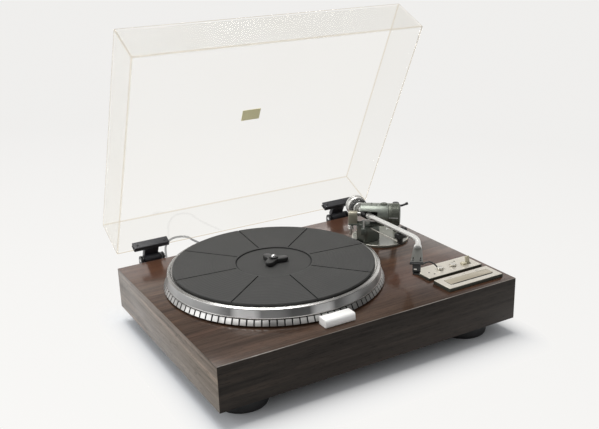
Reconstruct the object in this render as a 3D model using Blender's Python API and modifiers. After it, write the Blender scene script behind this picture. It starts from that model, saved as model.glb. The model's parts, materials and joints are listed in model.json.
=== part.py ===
"""Direct-drive record player on a wooden plinth, with its hinged clear lid standing open.

Metres, +Z up, +X to the player's right, +Y to its back. The origin lies on the surface that the feet
stand on, under the middle of the width, and under the middle of the depth that the plinth and the open
lid cover together.
"""
import math

import bmesh
import bpy
from mathutils import Matrix, Vector

# Fits
CLEARANCE = 0.0003
OVERRUN = 0.002

# Plinth
PLINTH_WIDTH = 0.475
PLINTH_DEPTH = 0.364
PLINTH_HEIGHT = 0.0635
DECK_THICKNESS = 0.012
WALL_THICKNESS = 0.018
BASE_BOARD_THICKNESS = 0.006
BASE_BOARD_INSET = 0.010
FOOT_RADIUS = 0.036
FOOT_TAPER = 0.002
FOOT_HEIGHT = 0.0179
FOOT_INSET_X = 0.054
FOOT_INSET_Y = 0.052

# Lid and hinges. The lid's sizes are given closed, its rim parallel to the deck
LID_SIDE_INSET = 0.00525
LID_FRONT_INSET = 0.0026
LID_HEIGHT = 0.0685
LID_WALL = 0.003
LID_OPEN_ANGLE = math.radians(63.95)
LID_RIM_LIFT = 0.002
LID_BACK_INSET = 0.0024
LID_WIDTH = PLINTH_WIDTH - 2 * LID_SIDE_INSET
LID_DEPTH = PLINTH_DEPTH - LID_BACK_INSET - LID_FRONT_INSET
BADGE_WIDTH = 0.0316
BADGE_HEIGHT = 0.0198
BADGE_THICKNESS = 0.0008
BADGE_FROM_REAR = 0.183
HINGE_SETBACK = 0.018
HINGE_DROP = 0.0031
HINGE_INSET = 0.0625
HINGE_SPACING = PLINTH_WIDTH - 2 * HINGE_INSET
HINGE_PIN_RADIUS = 0.0025
HINGE_PIN_HEAD_RADIUS = 0.0038
HINGE_PIN_HEAD = 0.002
BARREL_RADIUS = 0.0075
BARREL_WIDTH = 0.032
NECK_HEIGHT = 0.0085
CLAMP_WIDTH = 0.058
CLAMP_GRIP = 0.012
CLAMP_PLATE = 0.002
CLAMP_WEB = 0.0013
BRACKET_PLATE = 0.003
BRACKET_HEIGHT = 0.039
BRACKET_DROP = 0.009
CHEEK_THICKNESS = 0.003
CHEEK_RADIUS = 0.007
CHEEK_ROOT_TOP = 0.001
CHEEK_ROOT_BOTTOM = 0.012

# Pivot of the tonearm, which keeps its distance from the deck's right edge
PIVOT_FROM_RIGHT = 0.0965
PIVOT_X = PLINTH_WIDTH / 2 - PIVOT_FROM_RIGHT
ARM_HEIGHT = 0.048

# Platter, given from its axis and from the deck's top. The arm's mounting distance sets its place
PLATTER_LEFT_OF_PIVOT = 0.1958
PLATTER_FRONT_OF_PIVOT = 0.0504
PLATTER_BACK_OF_MIDDLE = 0.0116
PLATTER_X = PIVOT_X - PLATTER_LEFT_OF_PIVOT
PLATTER_Y = PLINTH_DEPTH / 2 + PLATTER_BACK_OF_MIDDLE
PIVOT_Y = PLATTER_Y + PLATTER_FRONT_OF_PIVOT
PLATTER_UNDERSIDE = 0.002
BAND_FOOT_RADIUS = 0.1606
BAND_HEAD_RADIUS = 0.1566
BAND_HEAD_HEIGHT = 0.0103
BAND_FOOT_HEIGHT = 0.0024
BEAD_RADIUS = 0.1576
BEAD_LOW = 0.0109
BEAD_HIGH = 0.0117
BEAD_TOP = 0.0123
RIM_RADIUS = 0.1568
RIM_HEIGHT = 0.0230
RIM_CHAMFER = 0.001
RING_INNER_RADIUS = 0.1496
RING_INNER_HEIGHT = 0.0255
SEAT_HEIGHT = 0.0243
SEAT_RADIUS = 0.1483
RIM_INSIDE_RADIUS = 0.1515
WEB_THICKNESS = 0.0055
HUB_RADIUS = 0.014
HUB_DEPTH = 0.0068
STROBE_BLOCKS = 100
STROBE_SLIT = 0.0016
STROBE_BLOCK_RISE = 0.001
MAT_RADIUS = 0.1476
MAT_THICKNESS = 0.0037
MAT_EDGE = 0.0006
LABEL_RADIUS = 0.0555
LABEL_DEPTH = 0.001
GROOVE_COUNT = 8
GROOVE_TURN = math.radians(-5.5)
GROOVE_START = 0.059
GROOVE_WIDTH = 0.0013
GROOVE_DEPTH = 0.0008
SPINDLE_RADIUS = 0.0036
SPINDLE_TIP = 0.0385
SPINDLE_DOME = 0.0022
SPINDLE_DEPTH = 0.038
ADAPTER_HUB_RADIUS = 0.0085
ADAPTER_REACH = 0.0215
ADAPTER_LOBE_RADIUS = 0.0062
ADAPTER_LOBES = 3
ADAPTER_TURN = math.radians(100.0)
ADAPTER_THICKNESS = 0.0047
ADAPTER_BEVEL = 0.0006

# Motor and bearing
MAGNET_OUTER_RADIUS = 0.058
MAGNET_INNER_RADIUS = 0.048
MAGNET_HEIGHT = 0.0095
STATOR_RADIUS = 0.044
STATOR_TOP = 0.007
STATOR_FLANGE_RADIUS = 0.070
STATOR_FLANGE = 0.003
STATOR_DEPTH = 0.036
STATOR_BODY_RADIUS = 0.050
MOTOR_HOLE_RADIUS = 0.064
SLEEVE_RADIUS = 0.008
SLEEVE_TOP = 0.010
SLEEVE_FLOOR = 0.003

# Electrics inside the case
TRANSFORMER_SIZE = (0.065, 0.060, 0.044)
TRANSFORMER_FROM_LEFT = 0.095
TRANSFORMER_FROM_REAR = 0.059
TRANSFORMER_X = TRANSFORMER_FROM_LEFT - PLINTH_WIDTH / 2
TRANSFORMER_Y = PLINTH_DEPTH - TRANSFORMER_FROM_REAR
BOARD_SIZE = (0.120, 0.070, 0.0016)
BOARD_FROM_LEFT = 0.1375
BOARD_X = BOARD_FROM_LEFT - PLINTH_WIDTH / 2
BOARD_Y = 0.075
BOARD_POST_RADIUS = 0.0035
BOARD_POST_HEIGHT = 0.013
BOARD_POST_INSET = 0.006

# Strobe lamp in front of the platter
STROBE_RIGHT_OF_PLATTER = 0.0008
STROBE_AHEAD_OF_PLATTER = 0.1716
STROBE_X = PLATTER_X + STROBE_RIGHT_OF_PLATTER
STROBE_Y = PLATTER_Y - STROBE_AHEAD_OF_PLATTER
STROBE_SIZE = (0.046, 0.017, 0.011)
STROBE_SHELL = 0.0016
LAMP_LENGTH = 0.020
LAMP_RADIUS = 0.0025
LAMP_BASE = (0.024, 0.006, 0.0015)
LAMP_SINK = 0.0003

# Control panels
REAR_PANEL_FROM_RIGHT = 0.06125
REAR_PANEL_X = PLINTH_WIDTH / 2 - REAR_PANEL_FROM_RIGHT
REAR_PANEL_Y = 0.07925
REAR_PANEL_SIZE = (0.0985, 0.0395, 0.0040)
PITCH_KNOB_OFFSETS = (-0.01425, 0.00975)
PITCH_KNOB_Y = 0.0785
PITCH_KNOB_RADIUS = 0.005
PITCH_KNOB_HEIGHT = 0.003
PITCH_KNOB_EDGE = 0.0006
KNOB_STEM_RADIUS = 0.0016
KNOB_STEM_LENGTH = 0.003
POWER_LEVER_OFFSET = 0.03475
POWER_LEVER_X = REAR_PANEL_X + POWER_LEVER_OFFSET
POWER_LEVER_Y = 0.0745
POWER_LEVER_WIDTH = 0.007
POWER_LEVER_REACH = 0.0125
POWER_LEVER_THICKNESS = 0.0024
POWER_LEVER_AXIS_HEIGHT = 0.0022
POWER_LEVER_LEAN = math.radians(-12.0)
POWER_SLOT_LENGTH = 0.0085
FRONT_PANEL_FROM_RIGHT = 0.062
FRONT_PANEL_X = PLINTH_WIDTH / 2 - FRONT_PANEL_FROM_RIGHT
FRONT_PANEL_Y = 0.0315
FRONT_PANEL_SIZE = (0.098, 0.036, 0.005)
PRESS_PLATE_SIZE = (0.078, 0.015, 0.0025)
PRESS_PLATE_OFFSET = 0.0015
PRESS_PLATE_X = FRONT_PANEL_X + PRESS_PLATE_OFFSET
PRESS_PLATE_Y = 0.0325
PRESS_PLATE_STAND = 0.0004
PRESS_POCKET_DEPTH = 0.0036
PRESS_GAP = 0.0005

# Tonearm base, given from the pivot and from the deck's top
FLANGE_RIGHT_OF_PIVOT = 0.030
FLANGE_BACK_OF_PIVOT = 0.001
FLANGE_X = PIVOT_X + FLANGE_RIGHT_OF_PIVOT
FLANGE_Y = PIVOT_Y + FLANGE_BACK_OF_PIVOT
FLANGE_RADIUS = 0.0465
FLANGE_HEIGHT = 0.0036
FLANGE_RIM = 0.003
FLANGE_DISH = 0.001
PILLAR_RADIUS = 0.014
PILLAR_BELOW_ARM = 0.018
PILLAR_TOP = ARM_HEIGHT - PILLAR_BELOW_ARM
PILLAR_DEPTH = 0.022
YOKE_SHAFT_RADIUS = 0.005
YOKE_SHAFT_LENGTH = 0.020
YOKE_PLATE = 0.0024
YOKE_PLATE_HALF = 0.008
YOKE_DISC_RADIUS = 0.012
EAR_NEAR = 0.0125
EAR_FAR = 0.027
EAR_HALF = 0.006
EAR_RISE = 0.0045
REST_BAR_RADIUS = 0.0018
REST_BAR_BELOW_ARM = 0.020
REST_BAR_HEIGHT = ARM_HEIGHT - REST_BAR_BELOW_ARM
REST_FROM_PIVOT = 0.089
REST_LENGTH = 0.010
REST_LEFT = 0.0070
REST_RIGHT = 0.0095
REST_BODY_HEIGHT = 0.0080
REST_NECK_HALF = 0.0028
REST_WALL_TOP = 0.0042
REST_NECK_BELOW_ARM = 0.0225
REST_BOTTOM = ARM_HEIGHT - REST_NECK_BELOW_ARM

# Tonearm. The head's direction makes this angle with the straight tube
HEAD_ANGLE = math.radians(39.0)
HOUSING_RADIUS = 0.018
HOUSING_TOP = 0.0167
HOUSING_BOTTOM = 0.0147
HOUSING_START = 0.006
HOUSING_ROOF_START = -0.007
HOUSING_ROOF_FOOT = 0.0095
HOUSING_END = 0.038
HOUSING_SLOT_END = 0.021
HOUSING_SLOT_TOP = 0.009
HOUSING_SLOT_BACK = 0.010
TRUNNION_RADIUS = 0.0025
TRUNNION_REACH = 0.027
FORCE_DIAL_LENGTH = 0.0177
FORCE_DIAL_RADIUS = 0.0180
FORCE_DIAL_RIDGE = 0.0007
FORCE_DIAL_RIDGES = 36
DIAL_STEM_RADIUS = 0.003
DIAL_STEM_LENGTH = 0.006
ANTI_SKATE_PLACE = 0.030
ANTI_SKATE_RADIUS = 0.0055
ANTI_SKATE_HEIGHT = 0.0015
ANTI_SKATE_STEM_RADIUS = 0.0015
ANTI_SKATE_STEM_LENGTH = 0.004
BALANCE_ROD_PLACE = 0.0232
BALANCE_ROD_FORWARD = 0.002
BALANCE_ROD_RADIUS = 0.0022
BALANCE_ROD_LENGTH = 0.018
BALANCE_STUD_RADIUS = 0.0015
BALANCE_STUD_LENGTH = 0.004
BALANCE_WEIGHT_RADIUS = 0.0045
BALANCE_WEIGHT_HEIGHT = 0.006
BALANCE_WEIGHT_DROP = 0.002
GIMBAL_RADIUS = 0.007
GIMBAL_FRONT = 0.008
GIMBAL_BACK = 0.007
TUBE_RADIUS = 0.004
TUBE_COLLAR_RADIUS = 0.0052
TUBE_COLLAR_LENGTH = 0.0065
TUBE_CORNER = 0.139
TUBE_BEND_RADIUS = 0.049
TUBE_BEND_POINTS = 11
LOCK_COLLAR_RADIUS = 0.0055
LOCK_COLLAR_LENGTH = 0.011
HEADSHELL_START = 0.041
HEADSHELL_LENGTH = 0.054
HEADSHELL_SHOULDER = 0.046
HEADSHELL_REAR_HALF = 0.0064
HEADSHELL_HALF = 0.0084
HEADSHELL_THICKNESS = 0.0026
CARTRIDGE_SIZE = (0.0112, 0.022, 0.0125)
STYLUS_FROM_CORNER = 0.088
STYLUS_BLOCK = (0.0096, 0.014, 0.0024)
STYLUS_DROP = 0.0177
STYLUS_TIP_RADIUS = 0.0012
FINGER_RADIUS = 0.0010
FINGER_REACH = 0.0195
FINGER_RISE = 0.0045
FINGER_DROP = 0.0030
FINGER_POINTS = 9
STUB_RADIUS = 0.004
STUB_LENGTH = 0.068
SCALE_RING_START = 0.026
SCALE_RING_LENGTH = 0.010
SCALE_RING_RADIUS = 0.0145
SCALE_RING_NOSE_RADIUS = 0.0105
SCALE_RING_NOSE_LENGTH = 0.002
SCALE_RING_CONE_LENGTH = 0.0035
WEIGHT_LENGTH = 0.0217
WEIGHT_RADIUS = 0.0158
WEIGHT_RIM_RADIUS = 0.0168
WEIGHT_RIM_LENGTH = 0.004

# Cueing lift
LIFTER_RADIUS = 0.017
LIFTER_HALF_WIDTH = 0.0015
LIFTER_THICKNESS = 0.0022
LIFTER_START = math.radians(-94.5)
LIFTER_END = math.radians(-139.0)
LIFTER_ARC_POINTS = 9
LIFTER_POST_ANGLE = math.radians(-132.0)
LIFTER_POST_RADIUS = 0.0013
LIFTER_POST_LENGTH = 0.024
LUG_HALF = 0.004
LUG_REACH = 0.022
LUG_BELOW_PILLAR = 0.0008
LUG_TOP = PILLAR_TOP - LUG_BELOW_PILLAR
LUG_HEIGHT = 0.010
CUE_POST_RIGHT_OF_PIVOT = 0.065
CUE_POST_BACK_OF_PIVOT = 0.006
CUE_POST_X = PIVOT_X + CUE_POST_RIGHT_OF_PIVOT
CUE_POST_Y = PIVOT_Y + CUE_POST_BACK_OF_PIVOT
CUE_POST_RADIUS = 0.005
CUE_POST_BELOW_ARM = 0.004
CUE_POST_TOP = ARM_HEIGHT - CUE_POST_BELOW_ARM
CUE_CAP_RADIUS = 0.0056
CUE_CAP_HEIGHT = 0.0085
CUE_STEM_RADIUS = 0.0018
CUE_STEM_LENGTH = 0.006
CUE_LEVER_RADIUS = 0.0013
CUE_LEVER_ELBOW = (0.0085, -0.0035, 0.0022)
CUE_LEVER_TIP = (0.0195, -0.0070, 0.0055)

# Rear sockets
SOCKET_PLATE_FROM_RIGHT = 0.1275
SOCKET_PLATE_X = PLINTH_WIDTH / 2 - SOCKET_PLATE_FROM_RIGHT
SOCKET_PLATE_DROP = 0.036
SOCKET_PLATE_SIZE = (0.064, 0.0015, 0.020)
SOCKET_RADIUS = 0.0042
SOCKET_LENGTH = 0.009
SOCKET_SPACING = 0.018

# Mains cord
CORD_RADIUS = 0.002
CORD_POINT_GAP = 0.010
GLAND_FROM_LEFT = 0.1225
GLAND_X = GLAND_FROM_LEFT - PLINTH_WIDTH / 2
GLAND_DROP = 0.055
GLAND_FLANGE_RADIUS = 0.008
GLAND_FLANGE = 0.0025
GLAND_ROOT_RADIUS = 0.0055
GLAND_TIP_RADIUS = 0.003
GLAND_LENGTH = 0.028
COIL_LOOPS = 9
COIL_LAYERS = 4
COIL_LOOP_POINTS = 24
COIL_OUTER_RADIUS = 0.027
COIL_INNER_RADIUS = 0.017
COIL_LAYER_RISE = 0.0046
COIL_TAIL = 0.045
COIL_TAIL_POINTS = 8
PLUG_SIZE = (0.020, 0.036, 0.015)
PLUG_BEVEL = 0.003
PLUG_PIN_RADIUS = 0.002
PLUG_PIN_LENGTH = 0.018
PLUG_PIN_SPACING = 0.0125

# Derived places
HINGE_Y = PLINTH_DEPTH + HINGE_SETBACK
LID_WALL_BACK = HINGE_SETBACK + LID_BACK_INSET
LID_RIM = HINGE_DROP + LID_RIM_LIFT
OPEN_REACH = (LID_RIM + LID_HEIGHT) * math.sin(LID_OPEN_ANGLE) - LID_WALL_BACK * math.cos(LID_OPEN_ANGLE)
FRONT_Y = -(HINGE_Y + OPEN_REACH) / 2
DECK_TOP_Z = FOOT_HEIGHT + CLEARANCE + BASE_BOARD_THICKNESS + CLEARANCE + PLINTH_HEIGHT
WALL_TOP = -DECK_THICKNESS - CLEARANCE
CASE_FLOOR = -PLINTH_HEIGHT
HEAD_FORWARD = Vector((-math.sin(HEAD_ANGLE), -math.cos(HEAD_ANGLE), 0))

# Cord route on the floor behind the plinth, from the gland to the coil: to the right of the gland, back
# from the plinth's rear face and up from the floor
CORD_ROUTE = (
    (0.0000, 0.0380, 0.0322),
    (0.0005, 0.0510, 0.0290),
    (0.0015, 0.0660, 0.0220),
    (0.0030, 0.0810, 0.0130),
    (0.0050, 0.0960, 0.0055),
    (0.0080, 0.1110, 0.0026),
    (0.0115, 0.1260, 0.0022),
    (0.0190, 0.1610, 0.0022),
    (0.0270, 0.1910, 0.0022),
    (0.0375, 0.2240, 0.0022),
    (0.0510, 0.2590, 0.0022),
    (0.0670, 0.2840, 0.0022),
    (0.0820, 0.2950, 0.0022),
    (0.0970, 0.2940, 0.0022),
    (0.1070, 0.2820, 0.0022),
    (0.1090, 0.2630, 0.0022),
    (0.1140, 0.2380, 0.0022),
    (0.1225, 0.2120, 0.0022),
    (0.1310, 0.1860, 0.0022),
    (0.1365, 0.1610, 0.0022),
    (0.1380, 0.1440, 0.0022),
)
COIL_RIGHT_OF_GLAND = 0.165
COIL_BACK_OF_PLINTH = 0.126
COIL_HEIGHT = 0.0022

FINISHES = {
    "wood": ((0.115, 0.075, 0.062), 0.38, 0.0),
    "dark_board": ((0.03, 0.028, 0.026), 0.75, 0.0),
    "black_rubber": ((0.02, 0.02, 0.02), 0.8, 0.0),
    "mat_rubber": ((0.10, 0.10, 0.097), 0.75, 0.0),
    "machined_aluminium": ((0.78, 0.78, 0.77), 0.28, 1.0),
    "polished_steel": ((0.72, 0.72, 0.72), 0.15, 1.0),
    "dark_metal": ((0.24, 0.26, 0.24), 0.45, 0.6),
    "satin_silver": ((0.80, 0.80, 0.77), 0.35, 0.9),
    "champagne_panel": ((0.74, 0.71, 0.64), 0.38, 0.8),
    "cream_plastic": ((0.60, 0.56, 0.42), 0.5, 0.0),
    "white_plastic": ((0.86, 0.87, 0.85), 0.4, 0.0),
    "black_plastic": ((0.02, 0.02, 0.02), 0.45, 0.0),
    "black_metal": ((0.03, 0.03, 0.03), 0.4, 0.4),
    "clear_plastic": ((0.93, 0.92, 0.87), 0.05, 0.0),
    "gold_plate": ((0.62, 0.50, 0.22), 0.35, 0.8),
    "copper": ((0.60, 0.33, 0.20), 0.4, 0.9),
    "circuit_green": ((0.06, 0.20, 0.09), 0.5, 0.0),
    "warm_glass": ((0.95, 0.75, 0.55), 0.1, 0.0),
}


def clear_scene():
    """Remove every object of the open file."""
    for old in list(bpy.data.objects):
        bpy.data.objects.remove(old, do_unlink=True)


def new_collection(name):
    """Add a collection to the scene."""
    collection = bpy.data.collections.new(name)
    bpy.context.scene.collection.children.link(collection)
    return collection


def make_finish(name):
    """A Principled material with the named finish's colour, roughness and metallic value."""
    colour, roughness, metallic = FINISHES[name]
    material = bpy.data.materials.get(name)
    if material is None:
        material = bpy.data.materials.new(name)
        material.use_nodes = True
        shader = material.node_tree.nodes["Principled BSDF"]
        shader.inputs["Base Color"].default_value = (*colour, 1.0)
        shader.inputs["Roughness"].default_value = roughness
        shader.inputs["Metallic"].default_value = metallic
        if name in ("clear_plastic", "warm_glass"):
            shader.inputs["Transmission Weight"].default_value = 1.0
    return material


def register(name, data, finish, frame):
    """Put a mesh or curve into the scene as a part, or as a hidden cutter where finish is None."""
    piece = bpy.data.objects.new(name, data)
    piece.matrix_world = frame
    if finish is None:
        CUTTERS.objects.link(piece)
        piece.hide_render = True
        piece.display_type = "WIRE"
    else:
        PARTS.objects.link(piece)
        data.materials.append(make_finish(finish))
    return piece


def finish_mesh(name, shape, finish, frame):
    """Turn a bmesh into a smooth-shaded object with sharp corners."""
    mesh = bpy.data.meshes.new(name)
    shape.to_mesh(mesh)
    shape.free()
    mesh.shade_smooth()
    mesh.set_sharp_from_angle(angle=math.radians(35.0))
    return register(name, mesh, finish, frame)


def box(name, low, high, finish=None, frame=Matrix()):
    """A box between two corners of the frame."""
    shape = bmesh.new()
    size = [top - bottom for bottom, top in zip(low, high)]
    centre = [(top + bottom) / 2 for bottom, top in zip(low, high)]
    matrix = Matrix.Translation(centre) @ Matrix.Diagonal((*size, 1.0))
    bmesh.ops.create_cube(shape, size=1.0, matrix=matrix)
    return finish_mesh(name, shape, finish, frame)


def rod(name, start, end, radius, finish=None, frame=Matrix(), sides=24, end_radius=None):
    """A cylinder, or a cone where the radii differ, between two points of the frame."""
    shape = bmesh.new()
    start, end = Vector(start), Vector(end)
    turn = (end - start).to_track_quat("Z", "Y").to_matrix().to_4x4()
    matrix = Matrix.Translation((start + end) / 2) @ turn
    far_radius = radius if end_radius is None else end_radius
    bmesh.ops.create_cone(shape, cap_ends=True, segments=sides, radius1=radius, radius2=far_radius,
                          depth=(end - start).length, matrix=matrix)
    return finish_mesh(name, shape, finish, frame)


def turned(name, profile, finish=None, frame=Matrix(), steps=32):
    """A profile of radius and height turned about the frame's Z axis.

    The profile runs down its outer side. It closes on itself where it stays off the axis.
    """
    mesh = bpy.data.meshes.new(name)
    edges = [(index, index + 1) for index in range(len(profile) - 1)]
    if profile[0][0] > 0:
        edges.append((len(profile) - 1, 0))
    mesh.from_pydata([(radius, 0, height) for radius, height in profile], edges, [])
    piece = register(name, mesh, finish, frame)
    screw = piece.modifiers.new("turn", "SCREW")
    screw.steps = screw.render_steps = steps
    screw.use_merge_vertices = True
    screw.merge_threshold = 0.00001
    screw.use_smooth_shade = True
    return piece


def as_mesh(piece):
    """Replace a curve, or an object with modifiers, by its own welded mesh."""
    bpy.context.view_layer.update()
    evaluated = piece.evaluated_get(bpy.context.evaluated_depsgraph_get())
    mesh = bpy.data.meshes.new_from_object(evaluated)
    shape = bmesh.new()
    shape.from_mesh(mesh)
    bmesh.ops.remove_doubles(shape, verts=shape.verts, dist=0.000005)
    shape.to_mesh(mesh)
    shape.free()
    name, frame, home = piece.name, piece.matrix_world.copy(), piece.users_collection[0]
    wire = piece.display_type == "WIRE"
    bpy.data.objects.remove(piece, do_unlink=True)
    mesh.name = name
    solid = bpy.data.objects.new(name, mesh)
    solid.matrix_world = frame
    home.objects.link(solid)
    if wire:
        solid.hide_render = True
        solid.display_type = "WIRE"
    mesh.shade_smooth()
    mesh.set_sharp_from_angle(angle=math.radians(35.0))
    return solid


def prism(name, outline, low, high, finish=None, frame=Matrix()):
    """A flat outline in the frame's XY plane, filled between two heights."""
    curve = bpy.data.curves.new(name, "CURVE")
    curve.dimensions = "2D"
    curve.fill_mode = "BOTH"
    curve.extrude = (high - low) / 2
    spline = curve.splines.new("POLY")
    spline.points.add(len(outline) - 1)
    for point, place in zip(spline.points, outline):
        point.co = (*place, 0, 1)
    spline.use_cyclic_u = True
    piece = register(name, curve, finish, frame @ Matrix.Translation((0, 0, (high + low) / 2)))
    return as_mesh(piece)


def tube(name, points, radius, finish=None, frame=Matrix(), resolution=2):
    """A round tube along a chain of points, with closed ends."""
    curve = bpy.data.curves.new(name, "CURVE")
    curve.dimensions = "3D"
    curve.bevel_depth = radius
    curve.bevel_resolution = resolution
    curve.use_fill_caps = True
    spline = curve.splines.new("POLY")
    spline.points.add(len(points) - 1)
    for point, place in zip(spline.points, points):
        point.co = (*place, 1)
    return register(name, curve, finish, frame)


def combine(piece, operation, others):
    """Add live Boolean modifiers to a piece."""
    for other in others:
        modifier = piece.modifiers.new(operation.lower(), "BOOLEAN")
        modifier.operation = operation
        modifier.solver = "EXACT"
        modifier.object = other
    return piece


def cut(piece, *cutters):
    """Take the cutters out of a piece."""
    return combine(piece, "DIFFERENCE", cutters)


def unite(piece, *others):
    """Join other shapes to a piece."""
    return combine(piece, "UNION", others)


def bevel(piece, width, segments=1):
    """Round or chamfer a piece's edges."""
    modifier = piece.modifiers.new("bevel", "BEVEL")
    modifier.width = width
    modifier.segments = segments
    modifier.limit_method = "ANGLE"
    return piece


def arc(radius, start, end, count, centre=(0, 0)):
    """Points along a circular arc, both ends included."""
    turns = [start + (end - start) * index / (count - 1) for index in range(count)]
    return [(centre[0] + radius * math.cos(turn), centre[1] + radius * math.sin(turn)) for turn in turns]


def at(across, back, up):
    """A frame at a place given from the centre line, the plinth's front face and its top."""
    return Matrix.Translation((across, back + FRONT_Y, up + DECK_TOP_Z))


def centred_box(name, size, base, finish=None, frame=Matrix()):
    """A box with the middle of its underside at a point of the frame."""
    low = (base[0] - size[0] / 2, base[1] - size[1] / 2, base[2])
    high = (base[0] + size[0] / 2, base[1] + size[1] / 2, base[2] + size[2])
    return box(name, low, high, finish, frame)


def facing_back(frame):
    """The frame turned so that its Z axis points to the player's back."""
    return frame @ Matrix.Rotation(math.radians(-90.0), 4, "X")


def build_plinth():
    """Four mitred walls, the deck, the base board and the feet."""
    frame = at(0, 0, 0)
    half = PLINTH_WIDTH / 2
    inner = half - WALL_THICKNESS
    near, far = WALL_THICKNESS, PLINTH_DEPTH - WALL_THICKNESS
    mitre = CLEARANCE
    boards = {
        "front_wall": ((-half + mitre, 0), (half - mitre, 0), (inner - mitre, near), (-inner + mitre, near)),
        "rear_wall": ((-inner + mitre, far), (inner - mitre, far),
                      (half - mitre, PLINTH_DEPTH), (-half + mitre, PLINTH_DEPTH)),
        "left_wall": ((-half, mitre), (-inner, near + mitre), (-inner, far - mitre),
                      (-half, PLINTH_DEPTH - mitre)),
        "right_wall": ((half, mitre), (half, PLINTH_DEPTH - mitre), (inner, far - mitre),
                       (inner, near + mitre)),
    }
    for name, outline in boards.items():
        prism(name, outline, CASE_FLOOR, WALL_TOP, "wood", frame)
    deck = box("deck", (-half, 0, -DECK_THICKNESS), (half, PLINTH_DEPTH, 0), "wood", frame)
    through = -DECK_THICKNESS - OVERRUN
    motor_hole = rod("motor_hole", (PLATTER_X, PLATTER_Y, through), (PLATTER_X, PLATTER_Y, OVERRUN),
                     MOTOR_HOLE_RADIUS, frame=frame, sides=48)
    pillar_hole = rod("pillar_hole", (PIVOT_X, PIVOT_Y, through), (PIVOT_X, PIVOT_Y, OVERRUN),
                      PILLAR_RADIUS + CLEARANCE, frame=frame)
    cut(deck, motor_hole, pillar_hole)
    board_top = CASE_FLOOR - CLEARANCE
    inset = BASE_BOARD_INSET
    box("base_board", (-half + inset, inset, board_top - BASE_BOARD_THICKNESS),
        (half - inset, PLINTH_DEPTH - inset, board_top), "dark_board", frame)
    foot = ((0, FOOT_HEIGHT), (FOOT_RADIUS, FOOT_HEIGHT), (FOOT_RADIUS, FOOT_TAPER),
            (FOOT_RADIUS - FOOT_TAPER, 0), (0, 0))
    for side, across in (("left", -half + FOOT_INSET_X), ("right", half - FOOT_INSET_X)):
        for end, back in (("front", FOOT_INSET_Y), ("rear", PLINTH_DEPTH - FOOT_INSET_Y)):
            turned(f"foot_{end}_{side}", foot, "black_rubber", at(across, back, -DECK_TOP_Z), 28)


def raise_blocks(platter):
    """Lift one strobe block out of each face of the platter's band."""
    shape = bmesh.new()
    shape.from_mesh(platter.data)
    middle = (BAND_HEAD_HEIGHT + BAND_FOOT_HEIGHT) / 2
    slack = (BAND_HEAD_HEIGHT - BAND_FOOT_HEIGHT) / 4
    band = []
    for face in shape.faces:
        centre = face.calc_center_median()
        if abs(centre.z - middle) < slack and centre.xy.length > RIM_INSIDE_RADIUS + CLEARANCE:
            band.append(face)
    bmesh.ops.inset_individual(shape, faces=band, thickness=STROBE_SLIT / 2)
    for face in band:
        bmesh.ops.translate(shape, verts=face.verts, vec=face.normal * STROBE_BLOCK_RISE)
    shape.to_mesh(platter.data)
    shape.free()


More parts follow.
